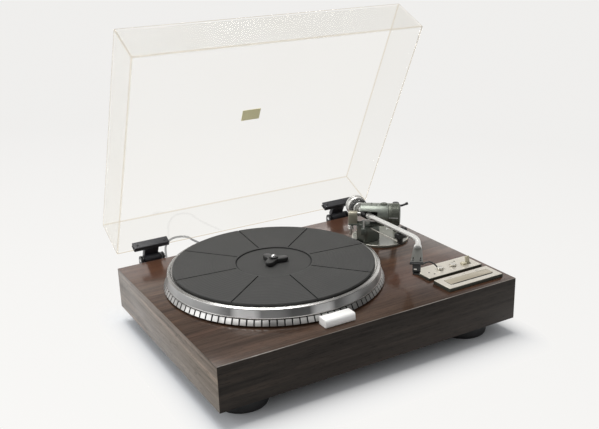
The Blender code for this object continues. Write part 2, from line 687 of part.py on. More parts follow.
def build_platter():
    """The platter with its strobe band, the mat, the spindle and the rotor magnet."""
    frame = at(PLATTER_X, PLATTER_Y, 0)
    bore = SPINDLE_RADIUS + CLEARANCE
    underside = SEAT_HEIGHT - WEB_THICKNESS
    hub_foot = underside - HUB_DEPTH
    profile = (
        (RING_INNER_RADIUS, RING_INNER_HEIGHT),
        (RIM_RADIUS - RIM_CHAMFER, RIM_HEIGHT + RIM_CHAMFER),
        (RIM_RADIUS, RIM_HEIGHT),
        (RIM_RADIUS, BEAD_TOP),
        (BEAD_RADIUS, BEAD_HIGH),
        (BEAD_RADIUS, BEAD_LOW),
        (BAND_HEAD_RADIUS, BAND_HEAD_HEIGHT),
        (BAND_FOOT_RADIUS, BAND_FOOT_HEIGHT),
        (BAND_FOOT_RADIUS, PLATTER_UNDERSIDE),
        (RIM_INSIDE_RADIUS, PLATTER_UNDERSIDE),
        (RIM_INSIDE_RADIUS, underside),
        (HUB_RADIUS, underside),
        (HUB_RADIUS, hub_foot),
        (bore, hub_foot),
        (bore, SEAT_HEIGHT),
        (SEAT_RADIUS, SEAT_HEIGHT),
    )
    raise_blocks(as_mesh(turned("platter", profile, "machined_aluminium", frame, STROBE_BLOCKS)))

    mat_foot = SEAT_HEIGHT + CLEARANCE
    mat_top = mat_foot + MAT_THICKNESS
    mat_profile = (
        (MAT_RADIUS - MAT_EDGE, mat_top),
        (MAT_RADIUS, mat_top - MAT_EDGE),
        (MAT_RADIUS, mat_foot),
        (bore, mat_foot),
        (bore, mat_top - LABEL_DEPTH),
        (LABEL_RADIUS, mat_top - LABEL_DEPTH),
        (LABEL_RADIUS, mat_top),
    )
    mat = turned("mat", mat_profile, "mat_rubber", frame, 80)
    shape = bmesh.new()
    length = MAT_RADIUS + OVERRUN - GROOVE_START
    for index in range(GROOVE_COUNT):
        turn = Matrix.Rotation(GROOVE_TURN + index * math.tau / GROOVE_COUNT, 4, "Z")
        place = Matrix.Translation((GROOVE_START + length / 2, 0, mat_top))
        size = Matrix.Diagonal((length, GROOVE_WIDTH, GROOVE_DEPTH * 2, 1.0))
        bmesh.ops.create_cube(shape, size=1.0, matrix=turn @ place @ size)
    cut(mat, finish_mesh("mat_grooves", shape, None, frame))

    dome = SPINDLE_DOME
    spindle_profile = [(0, SPINDLE_TIP)]
    for across, up in arc(SPINDLE_RADIUS, math.radians(70.0), 0, 4):
        spindle_profile.append((across, SPINDLE_TIP - dome + dome * up / SPINDLE_RADIUS))
    spindle_profile += [(SPINDLE_RADIUS, -SPINDLE_DEPTH), (0, -SPINDLE_DEPTH)]
    turned("spindle", spindle_profile, "polished_steel", frame, 20)

    magnet_top = underside - CLEARANCE
    magnet_foot = magnet_top - MAGNET_HEIGHT
    magnet = ((MAGNET_OUTER_RADIUS, magnet_top), (MAGNET_OUTER_RADIUS, magnet_foot),
              (MAGNET_INNER_RADIUS, magnet_foot), (MAGNET_INNER_RADIUS, magnet_top))
    turned("rotor_magnet", magnet, "dark_metal", frame, 40)

    outline = []
    for lobe in range(ADAPTER_LOBES):
        turn = ADAPTER_TURN + lobe * math.tau / ADAPTER_LOBES
        reach = ADAPTER_REACH - ADAPTER_LOBE_RADIUS
        centre = (reach * math.cos(turn), reach * math.sin(turn))
        quarter = math.radians(75.0)
        outline += arc(ADAPTER_LOBE_RADIUS, turn - quarter, turn + quarter, 6, centre)
        valley = turn + math.pi / ADAPTER_LOBES
        outline.append((ADAPTER_HUB_RADIUS * math.cos(valley), ADAPTER_HUB_RADIUS * math.sin(valley)))
    foot = mat_top - LABEL_DEPTH + CLEARANCE
    adapter = prism("adapter", outline, foot, foot + ADAPTER_THICKNESS, "black_plastic", frame)
    bevel(adapter, ADAPTER_BEVEL)
    cut(adapter, rod("adapter_bore", (0, 0, foot - OVERRUN), (0, 0, foot + ADAPTER_THICKNESS + OVERRUN),
                     bore, frame=frame))


def build_motor():
    """The stator under the deck and the sleeve that the spindle turns in."""
    frame = at(PLATTER_X, PLATTER_Y, 0)
    flange_top = -DECK_THICKNESS - CLEARANCE
    flange_foot = flange_top - STATOR_FLANGE
    bore = SLEEVE_RADIUS + CLEARANCE
    stator = (
        (STATOR_RADIUS, STATOR_TOP),
        (STATOR_RADIUS, flange_top),
        (STATOR_FLANGE_RADIUS, flange_top),
        (STATOR_FLANGE_RADIUS, flange_foot),
        (STATOR_BODY_RADIUS, flange_foot),
        (STATOR_BODY_RADIUS, -STATOR_DEPTH),
        (bore, -STATOR_DEPTH),
        (bore, STATOR_TOP),
    )
    turned("motor_stator", stator, "copper", frame, 36)
    inside = SPINDLE_RADIUS + CLEARANCE
    floor = -SPINDLE_DEPTH - CLEARANCE
    sleeve = (
        (inside, SLEEVE_TOP),
        (SLEEVE_RADIUS, SLEEVE_TOP),
        (SLEEVE_RADIUS, floor - SLEEVE_FLOOR),
        (0, floor - SLEEVE_FLOOR),
    )
    sleeve_body = turned("bearing_sleeve", ((0, SLEEVE_TOP),) + sleeve[1:], "dark_metal", frame, 24)
    cut(sleeve_body, rod("sleeve_bore", (0, 0, floor), (0, 0, SLEEVE_TOP + OVERRUN), inside,
                         frame=frame, sides=20))


def build_electrics():
    """Transformer, circuit board and the strobe lamp under its housing."""
    frame = at(0, 0, CASE_FLOOR)
    centred_box("transformer", TRANSFORMER_SIZE, (TRANSFORMER_X, TRANSFORMER_Y, 0), "dark_metal", frame)
    board = centred_box("control_board", BOARD_SIZE, (BOARD_X, BOARD_Y, BOARD_POST_HEIGHT),
                        "circuit_green", frame)
    posts = []
    for across in (-1, 1):
        for along in (-1, 1):
            x = BOARD_X + across * (BOARD_SIZE[0] / 2 - BOARD_POST_INSET)
            y = BOARD_Y + along * (BOARD_SIZE[1] / 2 - BOARD_POST_INSET)
            top = BOARD_POST_HEIGHT + BOARD_SIZE[2] / 2
            posts.append(rod(f"board_post_{across}_{along}", (x, y, 0), (x, y, top),
                             BOARD_POST_RADIUS, frame=frame, sides=12))
    unite(board, *posts)

    deck = at(STROBE_X, STROBE_Y, CLEARANCE)
    housing = centred_box("strobe_housing", STROBE_SIZE, (0, 0, 0), "white_plastic", deck)
    hollow = [size - 2 * STROBE_SHELL for size in STROBE_SIZE[:2]]
    cut(housing, box("strobe_hollow", (-hollow[0] / 2, -hollow[1] / 2, -OVERRUN),
                     (hollow[0] / 2, hollow[1] / 2, STROBE_SIZE[2] - STROBE_SHELL), frame=deck))
    lamp = centred_box("strobe_lamp", LAMP_BASE, (0, 0, 0), "warm_glass", deck)
    height = LAMP_BASE[2] + LAMP_RADIUS - LAMP_SINK
    unite(lamp, rod("lamp_bulb", (-LAMP_LENGTH / 2, 0, height), (LAMP_LENGTH / 2, 0, height),
                    LAMP_RADIUS, frame=deck, sides=14))


def build_rear_panel():
    """The rear control panel with its two pitch knobs and its paddle lever."""
    frame = at(0, 0, CLEARANCE)
    panel = centred_box("rear_panel", REAR_PANEL_SIZE, (REAR_PANEL_X, REAR_PANEL_Y, 0),
                        "champagne_panel", frame)
    top = REAR_PANEL_SIZE[2]
    seat = top + CLEARANCE
    stem_foot = seat - KNOB_STEM_LENGTH
    cutters = []
    edge = PITCH_KNOB_EDGE
    for side, offset in zip(("left", "right"), PITCH_KNOB_OFFSETS):
        across = REAR_PANEL_X + offset
        profile = ((0, seat + PITCH_KNOB_HEIGHT), (PITCH_KNOB_RADIUS - edge, seat + PITCH_KNOB_HEIGHT),
                   (PITCH_KNOB_RADIUS, seat + PITCH_KNOB_HEIGHT - edge), (PITCH_KNOB_RADIUS, seat),
                   (KNOB_STEM_RADIUS, seat), (KNOB_STEM_RADIUS, stem_foot), (0, stem_foot))
        turned(f"pitch_knob_{side}", profile, "satin_silver", at(across, PITCH_KNOB_Y, CLEARANCE), 24)
        cutters.append(rod(f"knob_hole_{side}", (across, PITCH_KNOB_Y, stem_foot - CLEARANCE),
                           (across, PITCH_KNOB_Y, top + OVERRUN), KNOB_STEM_RADIUS + CLEARANCE,
                           frame=frame, sides=16))
    half = POWER_LEVER_WIDTH / 2 + CLEARANCE
    slot = POWER_SLOT_LENGTH / 2
    cutters.append(box("lever_slot", (POWER_LEVER_X - half, POWER_LEVER_Y - slot, CLEARANCE * 2),
                       (POWER_LEVER_X + half, POWER_LEVER_Y + slot, top + OVERRUN), frame=frame))
    cut(panel, *cutters)

    lever_frame = at(POWER_LEVER_X, POWER_LEVER_Y, CLEARANCE + POWER_LEVER_AXIS_HEIGHT)
    upright = lever_frame @ Matrix.Rotation(POWER_LEVER_LEAN, 4, "X")
    edge_on = upright @ Matrix.Rotation(math.radians(90.0), 4, "Y")
    radius = POWER_LEVER_THICKNESS / 2
    reach = POWER_LEVER_REACH - radius
    outline = arc(radius, math.radians(-90.0), math.radians(90.0), 7)
    outline += arc(radius, math.radians(90.0), math.radians(270.0), 7, (-reach, 0))
    prism("power_lever", outline, -POWER_LEVER_WIDTH / 2, POWER_LEVER_WIDTH / 2, "cream_plastic", edge_on)


def build_front_panel():
    """The front control panel with its sprung press plate."""
    frame = at(0, 0, CLEARANCE)
    panel = centred_box("front_panel", FRONT_PANEL_SIZE, (FRONT_PANEL_X, FRONT_PANEL_Y, 0),
                        "champagne_panel", frame)
    top = FRONT_PANEL_SIZE[2]
    half_x = PRESS_PLATE_SIZE[0] / 2 + PRESS_GAP
    half_y = PRESS_PLATE_SIZE[1] / 2 + PRESS_GAP
    cut(panel, box("press_pocket", (PRESS_PLATE_X - half_x, PRESS_PLATE_Y - half_y, top - PRESS_POCKET_DEPTH),
                   (PRESS_PLATE_X + half_x, PRESS_PLATE_Y + half_y, top + OVERRUN), frame=frame))
    foot = top + PRESS_PLATE_STAND - PRESS_PLATE_SIZE[2]
    centred_box("press_plate", PRESS_PLATE_SIZE, (PRESS_PLATE_X, PRESS_PLATE_Y, foot),
                "champagne_panel", frame)


def pivot_frame():
    """The frame at the tonearm's pivot, where the swing and lift axes cross."""
    return at(PIVOT_X, PIVOT_Y, ARM_HEIGHT)


def drum_frame():
    """The pivot's frame with its X axis along the horizontal bearing."""
    return pivot_frame() @ Matrix.Rotation(-HEAD_ANGLE, 4, "Z")


def along_drum():
    """The drum frame turned so that its Z axis lies along the bearing and its X axis points down."""
    return drum_frame() @ Matrix.Rotation(math.radians(90.0), 4, "Y")


def build_arm_base():
    """The round flange with the cueing post, the pillar, the arm's rest and the lifter's lug."""
    deck = at(0, 0, CLEARANCE)
    flange_frame = at(FLANGE_X, FLANGE_Y, CLEARANCE)
    height = FLANGE_HEIGHT
    profile = ((0, height - FLANGE_DISH), (FLANGE_RADIUS - FLANGE_RIM - FLANGE_DISH, height - FLANGE_DISH),
               (FLANGE_RADIUS - FLANGE_RIM, height), (FLANGE_RADIUS, height), (FLANGE_RADIUS, 0), (0, 0))
    flange = as_mesh(turned("arm_flange", profile, "dark_metal", flange_frame, 48))
    post_foot = FLANGE_HEIGHT / 2
    post = rod("cue_post", (CUE_POST_X, CUE_POST_Y, post_foot), (CUE_POST_X, CUE_POST_Y, CUE_POST_TOP),
               CUE_POST_RADIUS, frame=deck, sides=20)
    unite(flange, post)
    pillar_bore = rod("flange_bore", (PIVOT_X, PIVOT_Y, -OVERRUN), (PIVOT_X, PIVOT_Y, FLANGE_HEIGHT + OVERRUN),
                      PILLAR_RADIUS + CLEARANCE, frame=deck)
    stem_bore = rod("cue_bore", (CUE_POST_X, CUE_POST_Y, CUE_POST_TOP - CUE_STEM_LENGTH),
                    (CUE_POST_X, CUE_POST_Y, CUE_POST_TOP + OVERRUN), CUE_STEM_RADIUS + CLEARANCE,
                    frame=deck, sides=16)
    cut(flange, pillar_bore, stem_bore)

    pillar_frame = at(PIVOT_X, PIVOT_Y, 0)
    pillar = rod("arm_pillar", (0, 0, -PILLAR_DEPTH), (0, 0, PILLAR_TOP), PILLAR_RADIUS,
                 "dark_metal", pillar_frame, 28)
    lug_frame = pillar_frame @ Matrix.Rotation(LIFTER_POST_ANGLE, 4, "Z")
    lug = box("lifter_lug", (0, -LUG_HALF, LUG_TOP - LUG_HEIGHT), (LUG_REACH, LUG_HALF, LUG_TOP),
              frame=lug_frame)
    unite(pillar, lug)
    shaft_bore = rod("shaft_bore", (0, 0, PILLAR_TOP - YOKE_SHAFT_LENGTH - CLEARANCE),
                     (0, 0, PILLAR_TOP + OVERRUN), YOKE_SHAFT_RADIUS + CLEARANCE, frame=pillar_frame)
    post_bore = rod("post_bore", (LIFTER_RADIUS, 0, LUG_TOP - LUG_HEIGHT - OVERRUN),
                    (LIFTER_RADIUS, 0, LUG_TOP + OVERRUN), LIFTER_POST_RADIUS + CLEARANCE,
                    frame=lug_frame, sides=14)
    cut(pillar, shaft_bore, post_bore)

    seat = ARM_HEIGHT - TUBE_RADIUS - CLEARANCE
    rest_front = -REST_FROM_PIVOT - REST_LENGTH
    rest = box("arm_rest", (-REST_LEFT, rest_front, seat - REST_BODY_HEIGHT),
               (REST_RIGHT, -REST_FROM_PIVOT, seat), "black_plastic", pillar_frame)
    neck = box("rest_neck", (-REST_NECK_HALF, rest_front + CLEARANCE, REST_BOTTOM),
               (REST_NECK_HALF, -REST_FROM_PIVOT - CLEARANCE, seat - REST_BODY_HEIGHT / 2), frame=pillar_frame)
    wall = box("rest_wall", (TUBE_RADIUS + CLEARANCE, rest_front, seat - OVERRUN),
               (REST_RIGHT, -REST_FROM_PIVOT, ARM_HEIGHT + REST_WALL_TOP), frame=pillar_frame)
    bar = rod("rest_bar", (0, -PILLAR_RADIUS - CLEARANCE, REST_BAR_HEIGHT),
              (0, -REST_FROM_PIVOT - REST_LENGTH / 2, REST_BAR_HEIGHT), REST_BAR_RADIUS,
              frame=pillar_frame, sides=12)
    unite(rest, wall, neck, bar)


def build_arm_swing():
    """What swings but stays level: yoke, bearing housing, dials and the balance rod."""
    drum = drum_frame()
    plate_foot = PILLAR_TOP - ARM_HEIGHT + CLEARANCE
    plate_top = plate_foot + YOKE_PLATE
    yoke = box("arm_yoke", (-EAR_FAR, -YOKE_PLATE_HALF, plate_foot), (HOUSING_END, YOKE_PLATE_HALF, plate_top),
               "satin_silver", drum)
    ear = box("yoke_ear", (-EAR_FAR, -EAR_HALF, plate_foot), (-EAR_NEAR, EAR_HALF, EAR_RISE), frame=drum)
    disc = rod("yoke_disc", (0, 0, plate_foot), (0, 0, plate_top), YOKE_DISC_RADIUS, frame=drum, sides=28)
    shaft = rod("yoke_shaft", (0, 0, plate_foot - YOKE_SHAFT_LENGTH), (0, 0, plate_top), YOKE_SHAFT_RADIUS,
                frame=drum)
    unite(yoke, ear, disc, shaft)
    bearing = TRUNNION_RADIUS + CLEARANCE
    ear_bore = rod("ear_bore", (-EAR_FAR - OVERRUN, 0, 0), (-EAR_NEAR + OVERRUN, 0, 0), bearing,
                   frame=drum, sides=16)
    rod_x, rod_y = -BALANCE_ROD_PLACE, -BALANCE_ROD_FORWARD
    stud_top = plate_foot + BALANCE_STUD_LENGTH
    stud_bore = rod("stud_bore", (rod_x, rod_y, plate_foot - OVERRUN), (rod_x, rod_y, stud_top + CLEARANCE),
                    BALANCE_STUD_RADIUS + CLEARANCE, frame=drum, sides=14)
    cut(yoke, ear_bore, stud_bore)

    top_half = math.acos(HOUSING_TOP / HOUSING_RADIUS)
    foot_half = math.acos(HOUSING_BOTTOM / HOUSING_RADIUS)
    outline = arc(HOUSING_RADIUS, math.pi + top_half, math.tau - foot_half, 12)
    outline += arc(HOUSING_RADIUS, foot_half, math.pi - top_half, 12)
    housing = prism("bearing_housing", outline, HOUSING_ROOF_START, HOUSING_END, "dark_metal", along_drum())
    open_side = box("gimbal_space", (HOUSING_ROOF_START - OVERRUN, -HOUSING_RADIUS - OVERRUN,
                                     -HOUSING_RADIUS - OVERRUN),
                    (HOUSING_START, HOUSING_RADIUS + OVERRUN, HOUSING_ROOF_FOOT), frame=drum)
    slot = box("housing_slot", (0, -HOUSING_RADIUS - OVERRUN, -HOUSING_RADIUS - OVERRUN),
               (HOUSING_SLOT_END, HOUSING_SLOT_BACK, HOUSING_SLOT_TOP), frame=drum)
    bore = rod("trunnion_bore", (0, 0, 0), (TRUNNION_REACH + CLEARANCE, 0, 0), bearing, frame=drum, sides=16)
    stem_foot = HOUSING_END - DIAL_STEM_LENGTH
    dial_bore = rod("dial_bore", (stem_foot, 0, 0), (HOUSING_END + OVERRUN, 0, 0),
                    DIAL_STEM_RADIUS + CLEARANCE, frame=drum, sides=16)
    knob_foot = HOUSING_TOP + CLEARANCE
    knob_stem = knob_foot - ANTI_SKATE_STEM_LENGTH
    knob_bore = rod("knob_bore", (ANTI_SKATE_PLACE, 0, knob_stem - CLEARANCE),
                    (ANTI_SKATE_PLACE, 0, HOUSING_TOP + OVERRUN), ANTI_SKATE_STEM_RADIUS + CLEARANCE,
                    frame=drum, sides=14)
    cut(housing, open_side, slot, bore, dial_bore, knob_bore)

    points = []
    for index in range(FORCE_DIAL_RIDGES):
        middle = index * math.tau / FORCE_DIAL_RIDGES
        quarter = math.tau / FORCE_DIAL_RIDGES / 4
        low = FORCE_DIAL_RADIUS - FORCE_DIAL_RIDGE
        points += arc(low, middle - quarter, middle - quarter, 2)[:1]
        points += arc(FORCE_DIAL_RADIUS, middle, middle + quarter, 2)
    dial_start = HOUSING_END + CLEARANCE
    dial = prism("force_dial", points, dial_start, dial_start + FORCE_DIAL_LENGTH, "dark_metal", along_drum())
    unite(dial, rod("dial_stem", (stem_foot + CLEARANCE, 0, 0), (dial_start + FORCE_DIAL_LENGTH / 2, 0, 0),
                    DIAL_STEM_RADIUS, frame=drum, sides=16))

    knob = ((0, ANTI_SKATE_HEIGHT), (ANTI_SKATE_RADIUS, ANTI_SKATE_HEIGHT), (ANTI_SKATE_RADIUS, 0),
            (ANTI_SKATE_STEM_RADIUS, 0), (ANTI_SKATE_STEM_RADIUS, -ANTI_SKATE_STEM_LENGTH),
            (0, -ANTI_SKATE_STEM_LENGTH))
    turned("anti_skate_dial", knob, "dark_metal",
           drum @ Matrix.Translation((ANTI_SKATE_PLACE, 0, knob_foot)), 20)

    hang = drum @ Matrix.Translation((rod_x, rod_y, plate_foot - CLEARANCE))
    radius = BALANCE_ROD_RADIUS
    hanging = ((0, BALANCE_STUD_LENGTH), (BALANCE_STUD_RADIUS, BALANCE_STUD_LENGTH),
               (BALANCE_STUD_RADIUS, 0), (radius, 0), (radius, radius - BALANCE_ROD_LENGTH),
               (radius / 2, -BALANCE_ROD_LENGTH), (0, -BALANCE_ROD_LENGTH))
    turned("balance_rod", hanging, "polished_steel", hang, 14)
    weight_top = -BALANCE_WEIGHT_DROP
    weight_foot = weight_top - BALANCE_WEIGHT_HEIGHT
    weight = ((BALANCE_WEIGHT_RADIUS, weight_top), (BALANCE_WEIGHT_RADIUS, weight_foot),
              (radius + CLEARANCE, weight_foot), (radius + CLEARANCE, weight_top))
    turned("balance_weight", weight, "polished_steel", hang, 20)


def head_frame():
    """The frame at the corner of the bent tube, with -Y along the head and X to its right."""
    return pivot_frame() @ Matrix.Translation((0, -TUBE_CORNER, 0)) @ Matrix.Rotation(-HEAD_ANGLE, 4, "Z")


def build_arm_tube():
    """The block in the bearing with its trunnions and rear stub, and the bent tube."""
    frame = pivot_frame()
    drum = drum_frame()
    block = rod("gimbal_block", (0, -GIMBAL_FRONT, 0), (0, GIMBAL_BACK, 0), GIMBAL_RADIUS,
                "dark_metal", frame, 20)
    trunnions = rod("trunnions", (-EAR_FAR + CLEARANCE, 0, 0), (TRUNNION_REACH, 0, 0), TRUNNION_RADIUS,
                    frame=drum, sides=16)
    stub = rod("rear_stub", (0, 0, 0), (0, STUB_LENGTH, 0), STUB_RADIUS, frame=stub_frame(), sides=16)
    unite(block, trunnions, stub)

    setback = TUBE_BEND_RADIUS * math.tan(HEAD_ANGLE / 2)
    centre = (-TUBE_BEND_RADIUS, -TUBE_CORNER + setback)
    start = -GIMBAL_FRONT - CLEARANCE
    end_along = HEADSHELL_START - CLEARANCE
    points = [(0, start, 0)]
    for x, y in arc(TUBE_BEND_RADIUS, 0, -HEAD_ANGLE, TUBE_BEND_POINTS, centre):
        points.append((x, y, 0))
    corner = Vector((0, -TUBE_CORNER, 0))
    points.append(corner + HEAD_FORWARD * end_along)
    arm_tube = as_mesh(tube("arm_tube", points, TUBE_RADIUS, "satin_silver", frame, 3))
    collar = rod("tube_collar", (0, start, 0), (0, start - TUBE_COLLAR_LENGTH, 0), TUBE_COLLAR_RADIUS,
                 frame=frame, sides=20)
    lock_start = corner + HEAD_FORWARD * (end_along - LOCK_COLLAR_LENGTH)
    lock = rod("lock_collar", lock_start, corner + HEAD_FORWARD * end_along, LOCK_COLLAR_RADIUS,
               frame=frame, sides=20)
    unite(arm_tube, collar, lock)


def build_head():
    """Headshell, finger lift, cartridge and stylus."""
    frame = head_frame()
    front = -HEADSHELL_START - HEADSHELL_LENGTH
    shoulder = -HEADSHELL_START - HEADSHELL_SHOULDER
    rear_half, half = HEADSHELL_REAR_HALF, HEADSHELL_HALF
    outline = ((-rear_half, -HEADSHELL_START), (-half, shoulder), (-half, front), (half, front),
               (half, shoulder), (rear_half, -HEADSHELL_START))
    top = HEADSHELL_THICKNESS / 2
    prism("headshell", outline, -top, top, "dark_metal", frame)

    across = front - CLEARANCE - FINGER_RADIUS
    points = [(-half, across, 0), (half, across, 0)]
    for index in range(1, FINGER_POINTS + 1):
        share = index / FINGER_POINTS
        rise = FINGER_RISE * math.sin(math.pi * share) - FINGER_DROP * share * share
        points.append((half + FINGER_REACH * share, across, rise))
    tube("finger_lift", points, FINGER_RADIUS, "black_plastic", frame, 2)

    cartridge_top = -top - CLEARANCE
    cartridge_foot = cartridge_top - CARTRIDGE_SIZE[2]
    centred_box("cartridge", CARTRIDGE_SIZE, (0, front + CARTRIDGE_SIZE[1] / 2, cartridge_foot),
                "black_plastic", frame)
    block_foot = cartridge_foot - CLEARANCE - STYLUS_BLOCK[2]
    stylus_y = -STYLUS_FROM_CORNER
    stylus = centred_box("stylus", STYLUS_BLOCK, (0, stylus_y, block_foot), "black_plastic", frame)
    unite(stylus, rod("stylus_tip", (0, stylus_y, block_foot + STYLUS_BLOCK[2] / 2),
                      (0, stylus_y, -STYLUS_DROP), STYLUS_TIP_RADIUS * 2, frame=frame, sides=10,
                      end_radius=STYLUS_TIP_RADIUS / 2))


def stub_frame():
    """The pivot's frame with its Y axis pointing away from the stylus."""
    corner = Vector((0, -TUBE_CORNER, 0))
    stylus = corner + HEAD_FORWARD * STYLUS_FROM_CORNER
    turn = math.atan2(stylus.x, -stylus.y)
    return pivot_frame() @ Matrix.Rotation(turn, 4, "Z")


def build_counterweight():
    """The numbered ring and the weight on the arm's rear stub."""
    frame = facing_back(stub_frame())
    bore = STUB_RADIUS + CLEARANCE
    start, end = SCALE_RING_START, SCALE_RING_START + SCALE_RING_LENGTH
    nose = start + SCALE_RING_NOSE_LENGTH
    cone = nose + SCALE_RING_CONE_LENGTH
    ring = ((bore, end), (SCALE_RING_RADIUS, end), (SCALE_RING_RADIUS, cone),
            (SCALE_RING_NOSE_RADIUS, nose), (SCALE_RING_NOSE_RADIUS, start), (bore, start))
    turned("scale_ring", ring, "black_metal", frame, 32)
    near = end + CLEARANCE
    far = near + WEIGHT_LENGTH
    rim = far - WEIGHT_RIM_LENGTH
    weight = ((bore, far), (WEIGHT_RIM_RADIUS, far), (WEIGHT_RIM_RADIUS, rim), (WEIGHT_RADIUS, rim),
              (WEIGHT_RADIUS, near), (bore, near))
    turned("counterweight", weight, "polished_steel", frame, 32)


def build_lift():
    """The lifter bar under the tube and the cueing lever on its post."""
    frame = at(PIVOT_X, PIVOT_Y, 0)
    top = ARM_HEIGHT - TUBE_RADIUS - CLEARANCE
    foot = top - LIFTER_THICKNESS
    outline = arc(LIFTER_RADIUS + LIFTER_HALF_WIDTH, LIFTER_END, LIFTER_START, LIFTER_ARC_POINTS)
    outline += arc(LIFTER_RADIUS - LIFTER_HALF_WIDTH, LIFTER_START, LIFTER_END, LIFTER_ARC_POINTS)
    bar = prism("lifter_bar", outline, foot, top, "satin_silver", frame)
    post_x = LIFTER_RADIUS * math.cos(LIFTER_POST_ANGLE)
    post_y = LIFTER_RADIUS * math.sin(LIFTER_POST_ANGLE)
    unite(bar, rod("lifter_post", (post_x, post_y, top - LIFTER_POST_LENGTH),
                   (post_x, post_y, top - LIFTER_THICKNESS / 2), LIFTER_POST_RADIUS, frame=frame, sides=14))

    lever_frame = at(CUE_POST_X, CUE_POST_Y, CUE_POST_TOP + 2 * CLEARANCE)
    cap = ((0, CUE_CAP_HEIGHT), (CUE_CAP_RADIUS, CUE_CAP_HEIGHT), (CUE_CAP_RADIUS, 0),
           (CUE_STEM_RADIUS, 0), (CUE_STEM_RADIUS, CLEARANCE - CUE_STEM_LENGTH),
           (0, CLEARANCE - CUE_STEM_LENGTH))
    lever = as_mesh(turned("cue_lever", cap, "black_metal", lever_frame, 20))
    root = (CUE_CAP_RADIUS / 2, 0, CUE_LEVER_ELBOW[2])
    arm = as_mesh(tube("cue_arm", (root, CUE_LEVER_ELBOW, CUE_LEVER_TIP), CUE_LEVER_RADIUS,
                       frame=lever_frame, resolution=2))
    unite(lever, arm)


def hinge_frame(across=0):
    """A frame on the lid's hinge axis, level as when the lid is closed."""
    return at(across, HINGE_Y, -HINGE_DROP)


def open_frame(across=0):
    """The hinge frame tipped back as the open lid is."""
    return hinge_frame(across) @ Matrix.Rotation(-LID_OPEN_ANGLE, 4, "X")


def build_lid():
    """The clear cover and the plate on the inside of its panel."""
    frame = open_frame()
    half = LID_WIDTH / 2
    shape = bmesh.new()
    centre = (0, -LID_WALL_BACK - LID_DEPTH / 2, LID_RIM + LID_HEIGHT / 2)
    size = Matrix.Diagonal((2 * half, LID_DEPTH, LID_HEIGHT, 1.0))
    bmesh.ops.create_cube(shape, size=1.0, matrix=Matrix.Translation(centre) @ size)
    floor = [face for face in shape.faces if face.normal.z < -0.9]
    bmesh.ops.delete(shape, geom=floor, context="FACES")
    lid = finish_mesh("lid", shape, "clear_plastic", frame)
    wall = lid.modifiers.new("wall", "SOLIDIFY")
    wall.thickness = LID_WALL
    wall.offset = -1
    wall.use_even_offset = True
    inside = LID_RIM + LID_HEIGHT - LID_WALL - CLEARANCE
    middle = -LID_WALL_BACK - BADGE_FROM_REAR
    box("badge_plate", (-BADGE_WIDTH / 2, middle - BADGE_HEIGHT / 2, inside - BADGE_THICKNESS),
        (BADGE_WIDTH / 2, middle + BADGE_HEIGHT / 2, inside), "gold_plate", frame)


def build_hinges():
    """Two hinges: bracket on the plinth's back, pin, and the leaf that clamps the lid's rear wall."""
    bore = HINGE_PIN_RADIUS + CLEARANCE
    gap = BARREL_WIDTH / 2 + CLEARANCE
    outer = gap + CHEEK_THICKNESS
    for side, across in (("left", -HINGE_SPACING / 2), ("right", HINGE_SPACING / 2)):
        fixed, leaf_frame = hinge_frame(across), open_frame(across)
        through = (-outer - OVERRUN, 0, 0), (outer + OVERRUN, 0, 0)
        face = -HINGE_SETBACK + CLEARANCE
        bracket = box(f"hinge_bracket_{side}", (-outer, face, -BRACKET_DROP - BRACKET_HEIGHT),
                      (outer, face + BRACKET_PLATE, -BRACKET_DROP), "black_metal", fixed)
        cheeks = []
        for name, near, far in (("inner", -outer, -gap), ("outer", gap, outer)):
            cheeks.append(box(f"cheek_{name}_{side}", (near, face, -CHEEK_ROOT_BOTTOM),
                              (far, CHEEK_RADIUS, -CHEEK_ROOT_TOP), frame=fixed))
            cheeks.append(rod(f"cheek_eye_{name}_{side}", (near, 0, 0), (far, 0, 0), CHEEK_RADIUS,
                              frame=fixed, sides=20))
        unite(bracket, *cheeks)
        cut(bracket, rod(f"cheek_bore_{side}", *through, bore, frame=fixed, sides=16))

        pin_frame = fixed @ Matrix.Rotation(math.radians(90.0), 4, "Y")
        head = outer + CLEARANCE
        pin = ((0, head + HINGE_PIN_HEAD), (HINGE_PIN_HEAD_RADIUS, head + HINGE_PIN_HEAD),
               (HINGE_PIN_HEAD_RADIUS, head), (HINGE_PIN_RADIUS, head), (HINGE_PIN_RADIUS, -head),
               (0, -head))
        turned(f"hinge_pin_{side}", pin, "polished_steel", pin_frame, 16)

        wall_out = -LID_WALL_BACK + CLEARANCE
        wall_in = -LID_WALL_BACK - LID_WALL - CLEARANCE
        web_top = LID_RIM - CLEARANCE
        web_foot = web_top - CLAMP_WEB
        grip = LID_RIM + CLAMP_GRIP
        back, front = wall_out + CLAMP_PLATE, wall_in - CLAMP_PLATE
        half = CLAMP_WIDTH / 2
        leaf = box(f"hinge_leaf_{side}", (-half, front, web_foot), (half, back, grip), "black_metal", leaf_frame)
        slot = box(f"wall_slot_{side}", (-half - OVERRUN, wall_in, web_top),
                   (half + OVERRUN, wall_out, grip + OVERRUN), frame=leaf_frame)
        cut(leaf, slot)
        neck_half = BARREL_WIDTH / 2
        neck = box(f"hinge_neck_{side}", (-neck_half, back - CLAMP_PLATE / 2, web_foot),
                   (neck_half, 0, web_foot + NECK_HEIGHT), frame=leaf_frame)
        barrel = rod(f"hinge_barrel_{side}", (-neck_half, 0, 0), (neck_half, 0, 0), BARREL_RADIUS,
                     frame=leaf_frame, sides=20)
        unite(leaf, neck, barrel)
        cut(leaf, rod(f"barrel_bore_{side}", *through, bore, frame=leaf_frame, sides=16))


